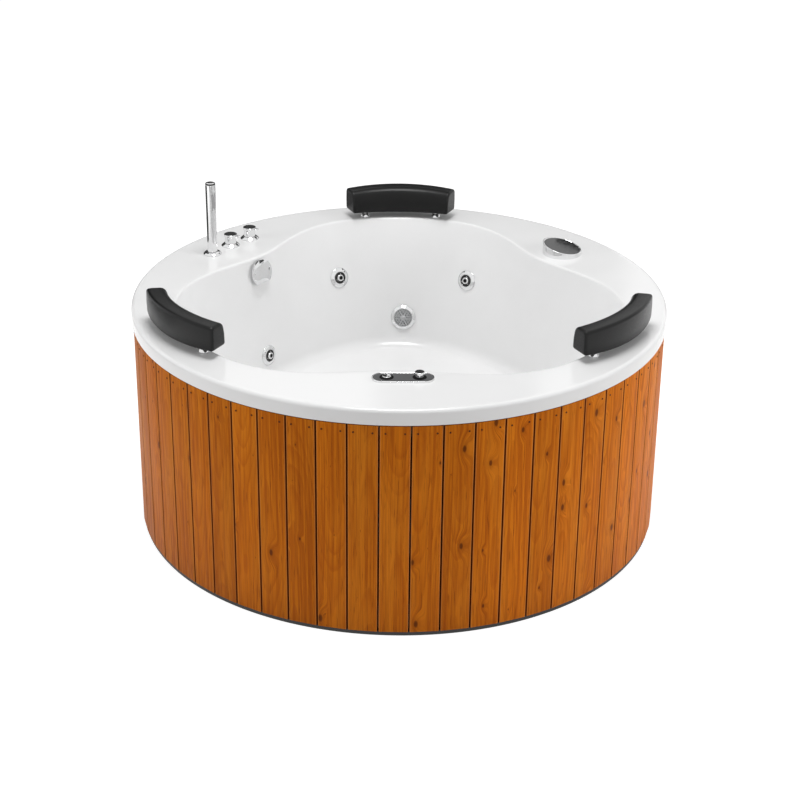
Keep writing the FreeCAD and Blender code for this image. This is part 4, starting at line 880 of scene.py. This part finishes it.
dial_steps = 144
dial_turns = [2 * math.pi * step / dial_steps for step in range(dial_steps)]
shoulder_height = DIAL_RIM + DIAL_EASE
dial_section = eased([(0.3, 0), (1.0, 0), (1.0, DIAL_RIM), (DIAL_SHOULDER, shoulder_height)], DIAL_EASE, 4)
dial_section += [(share, shoulder_height + (DIAL_CROWN - DIAL_EASE) * (1 - (share / DIAL_SHOULDER) ** 2))
                 for share in (0.75, 0.6, 0.45, 0.3, 0.15, 0.01)]
FLANGE_RADIUS = 0.033
filler_seat = wall_seat(*filler_spot, FLANGE_RADIUS)
dial_rows = [[(share * dial_edge(angle), angle, DIAL_BACK + height) for angle in dial_turns]
             for share, height in dial_section]
dial_form = capped(dial_rows, lambda row, spot: filler_seat @ polar(*spot))
hub = rod(HUB_RADIUS, DIAL_BACK - HUB_LENGTH, DIAL_BACK + HUB_SINK, 40)
dial = piece("filler_dial_disc", "filler_dial", chrome, dial_form, moved(hub, filler_seat))
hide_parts("filler_dial")

# Suction fitting: the pump draws water back through a perforated cover low on the back wall.
# The cover is satin chrome with a bright rim and one cross-head screw in its middle.
COVER_RADIUS = 0.041
COVER_FACE = 0.0315
COVER_HEIGHT = 0.009
GRILLE_ROWS = ((0.0125, 8), (0.0195, 14), (0.0265, 20))
GRILLE_HOLE = 0.0026
SCREW_HOLE = 0.0028
suction_seat = wall_seat(*suction_spot, COVER_RADIUS)
satin_chrome = mottled(finish("satin_chrome", Metallic=0.6), grain=380, gloss=(0.36, 0.5), relief=0.06,
                       tones=((0.44, 0.445, 0.45), (0.53, 0.535, 0.54)))
cover_profile = eased([(SCREW_HOLE, 0), (COVER_RADIUS, 0), (COVER_RADIUS, 0.0038), (0.0335, 0.0082),
                       (COVER_FACE, COVER_HEIGHT), (SCREW_HOLE, COVER_HEIGHT), (SCREW_HOLE, 0)], 0.0012)
cover = piece("suction_grille", "tub", chrome, moved(turned(cover_profile, 96), suction_seat))
hole = rod(GRILLE_HOLE, -0.004, 0.014, 20)
hole_spots = [polar(ring, 2 * math.pi * step / count, 0)
              for ring, count in GRILLE_ROWS for step in range(count)]
drilled(cover, [moved(hole, suction_seat @ Matrix.Translation(spot)) for spot in hole_spots])
faced(cover, satin_chrome, suction_seat, lambda spot: math.hypot(spot.x, spot.y) < COVER_FACE)
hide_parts("suction_cover")
screw_profile = eased([(0, -0.021), (0.0025, -0.021), (0.0025, 0.009), (0.006, 0.009), (0.006, 0.0105),
                       (0.003, 0.012), (0, 0.0121)], 0.0008, 3)
screw = piece("grille_screw", "tub", satin_chrome, moved(turned(screw_profile, 40), suction_seat))


def bar_form(half_x, half_y, low, high):
    corners = [(x, y, z) for z in (low, high) for x, y in
               ((-half_x, -half_y), (half_x, -half_y), (half_x, half_y), (-half_x, half_y))]
    return corners, [(0, 1, 2, 3), (4, 5, 6, 7), (0, 1, 5, 4), (1, 2, 6, 5), (2, 3, 7, 6), (3, 0, 4, 7)]


CROSS_HALF = 0.0032
CROSS_HALF_WIDTH = 0.0006
CROSS_FLOOR = 0.0108
for half_x, half_y in ((CROSS_HALF, CROSS_HALF_WIDTH), (CROSS_HALF_WIDTH, CROSS_HALF)):
    drilled(screw, [moved(bar_form(half_x, half_y, CROSS_FLOOR, 0.014), suction_seat)])
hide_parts("suction_screw")
dress(pvc, "suction_body")

# Water and air rings: two pipes bent round the bowl below the deck, which feed the jets.
# They are of light grey PVC, glued at their joints and hidden behind the boards.
dress(pvc, "water_ring", "air_ring")

# Massage jets: seven, each a chrome ring screwed through the wall into a PVC body behind it.
# In the ring turns a black nozzle with a chrome nose, whose eye is off its middle to aim the water.
NOZZLE_RADIUS = 0.01942
NOSE_RADIUS = 0.0115
NOSE_TOP = 0.011
EYE_RADIUS = 0.0065
EYE_OFFSET = 0.0006
EYE_LIP = 0.0008
LUG_REACH = 0.0138
LUG_TURNS = (80, 200, 320)
RING_BORE = 0.0195
RING_DEPTH = -0.018
ring_profile = eased([(RING_BORE, RING_DEPTH), (BORES["jet"], RING_DEPTH), (BORES["jet"], 0),
                      (FLANGE_RADIUS, 0), (FLANGE_RADIUS, 0.0012), (0.028, 0.0042), (0.0225, 0.006),
                      (RING_BORE, 0.006), (RING_BORE, RING_DEPTH)], 0.0008, 3)
collar_profile = eased([(0, -0.01), (NOZZLE_RADIUS, -0.01), (NOZZLE_RADIUS, 0.0052), (0.0185, 0.0068),
                        (0.0168, 0.0066), (0.0162, 0.004), (0, 0.004)], 0.0005, 3)
nose_profile = eased([(0, 0.004), (NOSE_RADIUS, 0.004), (NOSE_RADIUS, 0.0085), (0.0105, 0.0105),
                      (0.009, NOSE_TOP), (0, NOSE_TOP)], 0.0012, 4)
eye = rod(EYE_RADIUS, 0.0045, 0.016, 40)
lug_profile = eased([(0, 0.0055), (0.0017, 0.0055), (0.0015, 0.0078), (0, 0.008)], 0.0005, 2)
jet_seats = [wall_seat(angle, depth, FLANGE_RADIUS) for angle, depth in jet_spots]
rings = piece("jet_wall_rings", "tub", chrome, *[moved(turned(ring_profile), seat) for seat in jet_seats])
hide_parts("jet_rings")
dress(pvc, "jet_bodies")


def in_eye(spot):
    """True for a face of the eye's bore, below its lip."""
    return math.hypot(spot.x - EYE_OFFSET, spot.y) < EYE_RADIUS * 1.01 and spot.z < NOSE_TOP - EYE_LIP


for jet_name, seat in zip(JET_NAMES, jet_seats):
    body = "jet_nozzle_" + jet_name
    lugs = [moved(turned(lug_profile, 14), seat @ Matrix.Translation(polar(LUG_REACH, math.radians(turn), 0)))
            for turn in LUG_TURNS]
    nozzle = piece("jet_nose_" + jet_name, body, chrome, moved(turned(nose_profile), seat), *lugs)
    drilled(nozzle, [moved(eye, seat @ Matrix.Translation((EYE_OFFSET, 0, 0)))])
    faced(nozzle, black_plastic, seat, in_eye)
    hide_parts(body)
    collar = piece("jet_collar_" + jet_name, body, black_plastic, moved(turned(collar_profile), seat))

# Front controls: a dark grey plate with a chrome edge, flush on the wide front of the deck.
# A low push button starts the pump through an air hose, and a taller stepped knob lets air into the jets.
PLATE_HALF = 0.086
PLATE_HALF_WIDTH = 0.03
PLATE_HEIGHT = 0.005
PLATE_FACE = 0.0044
PLATE_EDGE = 0.003
HALF_ROUND_PLAY = 0.00005
BUTTON_HOLE = 0.01258
KNOB_HOLE = 0.00508
plate_inset = [(0, 0), (0, 0.0036), (0.0004, 0.0046), (0.0012, PLATE_HEIGHT), (0.0024, PLATE_HEIGHT),
               (0.0028, 0.0047), (0.0032, 0.0046)]
plate_rows = []
for inset, height in plate_inset:
    half_width = PLATE_HALF_WIDTH - inset
    outline = slab_outline(PLATE_HALF - inset, half_width, half_width - HALF_ROUND_PLAY, 18)
    plate_rows.append([(x, y, height) for x, y in outline])
plate = piece("control_face", "tub", chrome, capped(plate_rows, lambda row, spot: plate_place @ Vector(spot)))
drilled(plate, [moved(rod(radius, -0.01, 0.02, 64), place)
                for radius, place in ((BUTTON_HOLE, button_place), (KNOB_HOLE, knob_place))])
plate_grey = mottled(finish("plate_grey", Metallic=0.25), grain=500, gloss=(0.36, 0.48), relief=0.08,
                     tones=((0.085, 0.086, 0.088), (0.11, 0.111, 0.113)))


def on_plate_face(spot):
    """True for a face on top, inside the plate's chrome edge."""
    reach = math.hypot(max(0.0, abs(spot.x) - PLATE_HALF + PLATE_HALF_WIDTH), spot.y)
    return spot.z > PLATE_FACE and reach < PLATE_HALF_WIDTH - PLATE_EDGE


faced(plate, plate_grey, plate_place, on_plate_face)
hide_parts("control_plate")
button_profile = eased([(0, -0.002), (0.0125, -0.002), (0.0125, 0.0088), (0.0112, 0.01), (0.009, 0.0095),
                        (0, 0.009)], 0.0008, 4)
button = piece("pump_button", "push_button", chrome, moved(turned(button_profile), button_place))
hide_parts("push_button")
# Painted shade: black rings on the plate's face round the button and the knob stand in for the shadows round
# their feet.
SHADE_RING_RADIUS = 0.0195
SHADE_RING_TOP = 0.0051
shade_ring_black = mottled(finish("shade_ring_black", Specular_IOR_Level=0.08), grain=700, gloss=(0.55, 0.7),
                      relief=0.2, tones=(grey(0.005), grey(0.009)))
for shade_ring_name, shade_ring_place, shade_ring_bore in (("button", button_place, 0.0128), ("knob", knob_place, 0.0054)):
    shade_ring_profile = eased([(shade_ring_bore, PLATE_FACE), (SHADE_RING_RADIUS, PLATE_FACE), (SHADE_RING_RADIUS, SHADE_RING_TOP),
                          (shade_ring_bore, SHADE_RING_TOP), (shade_ring_bore, PLATE_FACE)], 0.0002, 2)
    shade_ring = piece(shade_ring_name + "_shade_ring", "tub", shade_ring_black, moved(turned(shade_ring_profile, 48), shade_ring_place))
knob_profile = eased([(0, -0.0186), (0.005, -0.0186), (0.005, 0.0054), (0.0125, 0.0054), (0.0125, 0.013),
                      (0.014, 0.0138), (0.014, 0.02), (0.0128, 0.0214), (0, 0.0214)], 0.001, 4)
knob = piece("air_control_knob", "air_knob", chrome, moved(turned(knob_profile), knob_place))
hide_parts("air_knob")
dress(pvc, "button_body", "air_valve")

# Control panel: a round wedge of chromed plastic on the right of the deck, high towards the back left.
# Its face is one plain disc of smoked glass, let into the wedge, whose neck is fixed through the deck.
PANEL_RADIUS = 0.062
PANEL_LOW = 0.01
PANEL_TILT = math.radians(12)
GLASS_RADIUS = 0.058
GLASS_PLAY = 0.0003
GLASS_DEPTH = 0.004
PANEL_STEPS = 120
panel_middle = PANEL_LOW + PANEL_RADIUS * math.tan(PANEL_TILT)
face_place = panel_place @ Matrix.Translation((0, 0, panel_middle)) @ Matrix.Rotation(-PANEL_TILT, 4, "Y")
panel_turns = [2 * math.pi * step / PANEL_STEPS for step in range(PANEL_STEPS)]


def on_wedge(radius, angle, drop):
    """A place under the leaning face, straight below it by the drop."""
    return polar(radius, angle, panel_middle + radius * math.cos(angle) * math.tan(PANEL_TILT) - drop)


NECK_BORE = 0.02
NECK_FOOT = -0.04
neck_edge = ((NECK_BORE, NECK_FOOT), (BORES["panel"], NECK_FOOT), (BORES["panel"], 0), (PANEL_RADIUS, 0))
wedge_rows = [[polar(radius, angle, height) for angle in panel_turns] for radius, height in neck_edge]
wedge_rim = eased([(PANEL_RADIUS, 0.009), (PANEL_RADIUS, 0), (GLASS_RADIUS + 0.002, 0)], 0.0022, 5)[1:-1]
wedge_rows += [[on_wedge(radius, angle, drop) for angle in panel_turns] for radius, drop in wedge_rim]
to_panel = panel_place.inverted() @ face_place
for radius, depth in ((GLASS_RADIUS + 0.0012, 0.0), (GLASS_RADIUS + GLASS_PLAY, -0.0008),
                      (GLASS_RADIUS + GLASS_PLAY, -GLASS_DEPTH), (NECK_BORE, -GLASS_DEPTH)):
    wedge_rows.append([to_panel @ polar(radius, angle, depth) for angle in panel_turns])
wedge_form = lofted(wedge_rows, lambda row, spot: panel_place @ spot)
bezel = piece("panel_wedge", "tub", chrome, wedge_form)
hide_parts("panel_bezel")
smoked_glass = mottled(finish("smoked_glass", IOR=1.5), grain=60, gloss=(0.03, 0.06), relief=0.004,
                       tones=((0.016, 0.0165, 0.017), (0.022, 0.0225, 0.023)))
glass_profile = eased([(0, -GLASS_DEPTH), (GLASS_RADIUS, -GLASS_DEPTH), (GLASS_RADIUS, 0), (0, 0)], 0.0007, 4)
glass = piece("panel_face", "tub", smoked_glass, moved(turned(glass_profile, PANEL_STEPS), face_place))
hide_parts("panel_glass")

# Drain: a chrome flange in the floor of the bowl with a domed plug that the filler's dial lifts.
# Below it hang the trap and the overflow pipe, both of PVC.
dress(chrome, "drain_flange")
PLUG_LIFT = 0.0044
plug_profile = eased([(0, -0.05), (0.004, -0.05), (0.004, 0), (0.031, 0), (0.031, 0.0012), (0.026, 0.0048),
                      (0.012, 0.006), (0, 0.0062)], 0.0012)
plug = piece("drain_stopper", "drain_plug", chrome,
             moved(turned(plug_profile), drain_place @ Matrix.Translation((0, 0, PLUG_LIFT))))
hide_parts("drain_plug")
dress(pvc, "drain_trap", "overflow_pipe")

# Pump and electrics: a black wet end, a painted motor on a zinc bracket, and a splash-proof grey box.
# They stand on the base frame and hang on a stud inside the skirt.
motor_paint = mottled(finish("motor_paint"), grain=120, gloss=(0.35, 0.5), relief=0.1,
                      tones=((0.05, 0.085, 0.15), (0.075, 0.115, 0.19)))
box_plastic = mottled(finish("box_grey"), grain=300, gloss=(0.45, 0.6), relief=0.15,
                      tones=((0.3, 0.31, 0.315), (0.36, 0.37, 0.375)))
dress(black_plastic, "pump_wet_end", "cable_gland")
dress(motor_paint, "pump_motor")
dress(zinc_plate, "pump_bracket")
dress(pvc, "suction_pipe")
dress(box_plastic, "control_box")

# Studio: a seamless white floor that keeps the tub's soft shadow, in a white room.
# Four soft lamps hang overhead, behind and at both sides. Dark flags round the set
# show only as dark streaks in the bright fittings.
scene.view_settings.view_transform = "Standard"


def seen_rays(owner):
    """1 for the rays that show the white room: camera, glossy and transmission rays."""
    path = shade(owner, "LightPath").outputs
    share = path["Is Camera Ray"]
    for kind in ("Is Glossy Ray", "Is Transmission Ray"):
        share = number(owner, "MAXIMUM", share, path[kind])
    return share


room = bpy.data.worlds.new("white_room")
scene.world = room
room.use_nodes = True
ROOM_LIGHT = 0.34
back_light = room.node_tree.nodes["Background"]
level = shade(room, "MapRange", Value=seen_rays(room), To_Min=ROOM_LIGHT, To_Max=1.0)
feed(room, back_light, "Color", (1, 1, 1, 1))
feed(room, back_light, "Strength", level.outputs["Result"])

# the floor's glow stops under the tub, so that none shows through the seams
FLOOR_GLOW = 0.86
GLOW_EDGE = 0.79
PLAIN_FLOOR = 0.8
SHOWN_FLOOR = 0.45
floor_paint = finish("studio_floor")
floor_nodes = floor_paint.node_tree.nodes
floor_nodes.remove(shader_of(floor_paint))
plain = shade(floor_paint, "BsdfDiffuse", Color=(*grey(PLAIN_FLOOR), 1))
shown = shade(floor_paint, "BsdfDiffuse", Color=(*grey(SHOWN_FLOOR), 1))
from_middle = shade(floor_paint, "VectorMath")
from_middle.operation = "LENGTH"
feed(floor_paint, from_middle, 0, shade(floor_paint, "NewGeometry").outputs["Position"])
outside = number(floor_paint, "GREATER_THAN", from_middle.outputs["Value"], GLOW_EDGE)
glow = shade(floor_paint, "Emission", Strength=number(floor_paint, "MULTIPLY", outside, FLOOR_GLOW))
lit = shade(floor_paint, "AddShader")
feed(floor_paint, lit, 0, shown.outputs[0])
feed(floor_paint, lit, 1, glow.outputs[0])
choice = shade(floor_paint, "MixShader", Fac=seen_rays(floor_paint))
feed(floor_paint, choice, 1, plain.outputs[0])
feed(floor_paint, choice, 2, lit.outputs[0])
feed(floor_paint, floor_nodes["Material Output"], "Surface", choice.outputs[0])


def stage_sheet(name, half_width, half_height, place, material):
    mesh = bpy.data.meshes.new(name)
    corners = [(-half_width, -half_height, 0), (half_width, -half_height, 0), (half_width, half_height, 0),
               (-half_width, half_height, 0)]
    mesh.from_pydata(corners, [], [(0, 1, 2, 3)])
    mesh.materials.append(material)
    sheet = bpy.data.objects.new(name, mesh)
    sheet.matrix_world = place
    scene.collection.objects.link(sheet)
    return sheet


def toward(spot, target):
    """Frame at a spot whose Z axis points at the target."""
    aim = (Vector(target) - Vector(spot)).to_track_quat("Z", "Y").to_matrix().to_4x4()
    return Matrix.Translation(spot) @ aim


FLOOR_HALF = 40
FLOOR_DROP = 0.0005
stage_sheet("studio_floor", FLOOR_HALF, FLOOR_HALF, Matrix.Translation((0, 0, -FLOOR_DROP)), floor_paint)
flag_cloth = finish("flag_cloth", Base_Color=(0, 0, 0, 1), Roughness=1.0, Specular_IOR_Level=0.0,
                    Emission_Color=(1, 1, 1, 1), Emission_Strength=0.06)
BACK_WALL = 4.0
LEFT_FLAG_TURN = math.radians(66)
flag_places = {"back": toward((-1.0, BACK_WALL, 1.3), (-1.0, 0, 1.3)),
               "back_low": toward((2.2, BACK_WALL, 0.75), (2.2, 0, 0.75)),
               "panel": toward((1.58, BACK_WALL, 2.136), (1.58, 0, 2.136)),
               "right": toward((3.4, 0.6, 1.5), (0, 0, 0.9)),
               "left_floor": Matrix.Translation((-2.6, 1.22, 0.01)) @ Matrix.Rotation(LEFT_FLAG_TURN, 4, "Z"),
               "back_floor": Matrix.Translation((-0.6, 2.7, 0.01)),
               "left_high": toward((-2.61, 2.85, 2.9), (-0.55, 0.4, 2.9)),
               "right_high": toward((0.22, 1.32, 1.8), (-0.55, 0.4, 1.8))}
FLAG_SIZES = {"back": (2.2, 1.3), "back_low": (1.0, 0.75), "panel": (0.14, 0.152), "right": (0.5, 0.5),
              "left_floor": (1.5, 0.62), "back_floor": (1.6, 0.8),
              "left_high": (1.15, 1.9), "right_high": (0.4, 0.5)}
for flag_name, place in flag_places.items():
    flag = stage_sheet("studio_flag_" + flag_name, *FLAG_SIZES[flag_name], place, flag_cloth)
    flag.visible_camera = False
    flag.visible_diffuse = False
    flag.visible_shadow = False
    flag.visible_transmission = False

LAMP_TARGET = (0, 0, 0.6)
LAMPS = {"overhead": ((0.0, -0.4, 4.8), 1.6, 100), "behind": ((0.0, 2.4, 4.4), 1.6, 15),
         "left": ((-4.4, -1.4, 2.0), 2.4, 58), "right": ((4.4, -1.4, 2.0), 2.4, 66)}
for lamp_name, (spot, size, power) in LAMPS.items():
    light = bpy.data.lights.new("soft_lamp_" + lamp_name, "AREA")
    light.size = size
    light.energy = power
    lamp = bpy.data.objects.new("soft_lamp_" + lamp_name, light)
    lamp.matrix_world = toward(spot, LAMP_TARGET) @ Matrix.Rotation(math.pi, 4, "X")
    scene.collection.objects.link(lamp)
    lamp.visible_glossy = lamp_name == "overhead"

# Camera: a long lens well above the rim, turned as the photograph is.
# Its place and angles were fitted to the rim, the floor line and the seams between the boards.
photo_lens = bpy.data.cameras.new("photo_view")
photo_lens.lens = 83.66
photo_lens.sensor_width = 36.0
photo_lens.clip_end = 100.0
CAMERA_SPOT = (0, -5.184, 2.824)
CAMERA_PITCH = math.radians(64.48)
CAMERA_ROLL = math.radians(0.67)
CAMERA_YAW = math.radians(-0.06)
camera = bpy.data.objects.new("photo_view", photo_lens)
camera.matrix_world = (Matrix.Translation(CAMERA_SPOT) @ Matrix.Rotation(CAMERA_YAW, 4, "Z")
                       @ Matrix.Rotation(CAMERA_PITCH, 4, "X") @ Matrix.Rotation(CAMERA_ROLL, 4, "Z"))
scene.collection.objects.link(camera)
scene.camera = camera
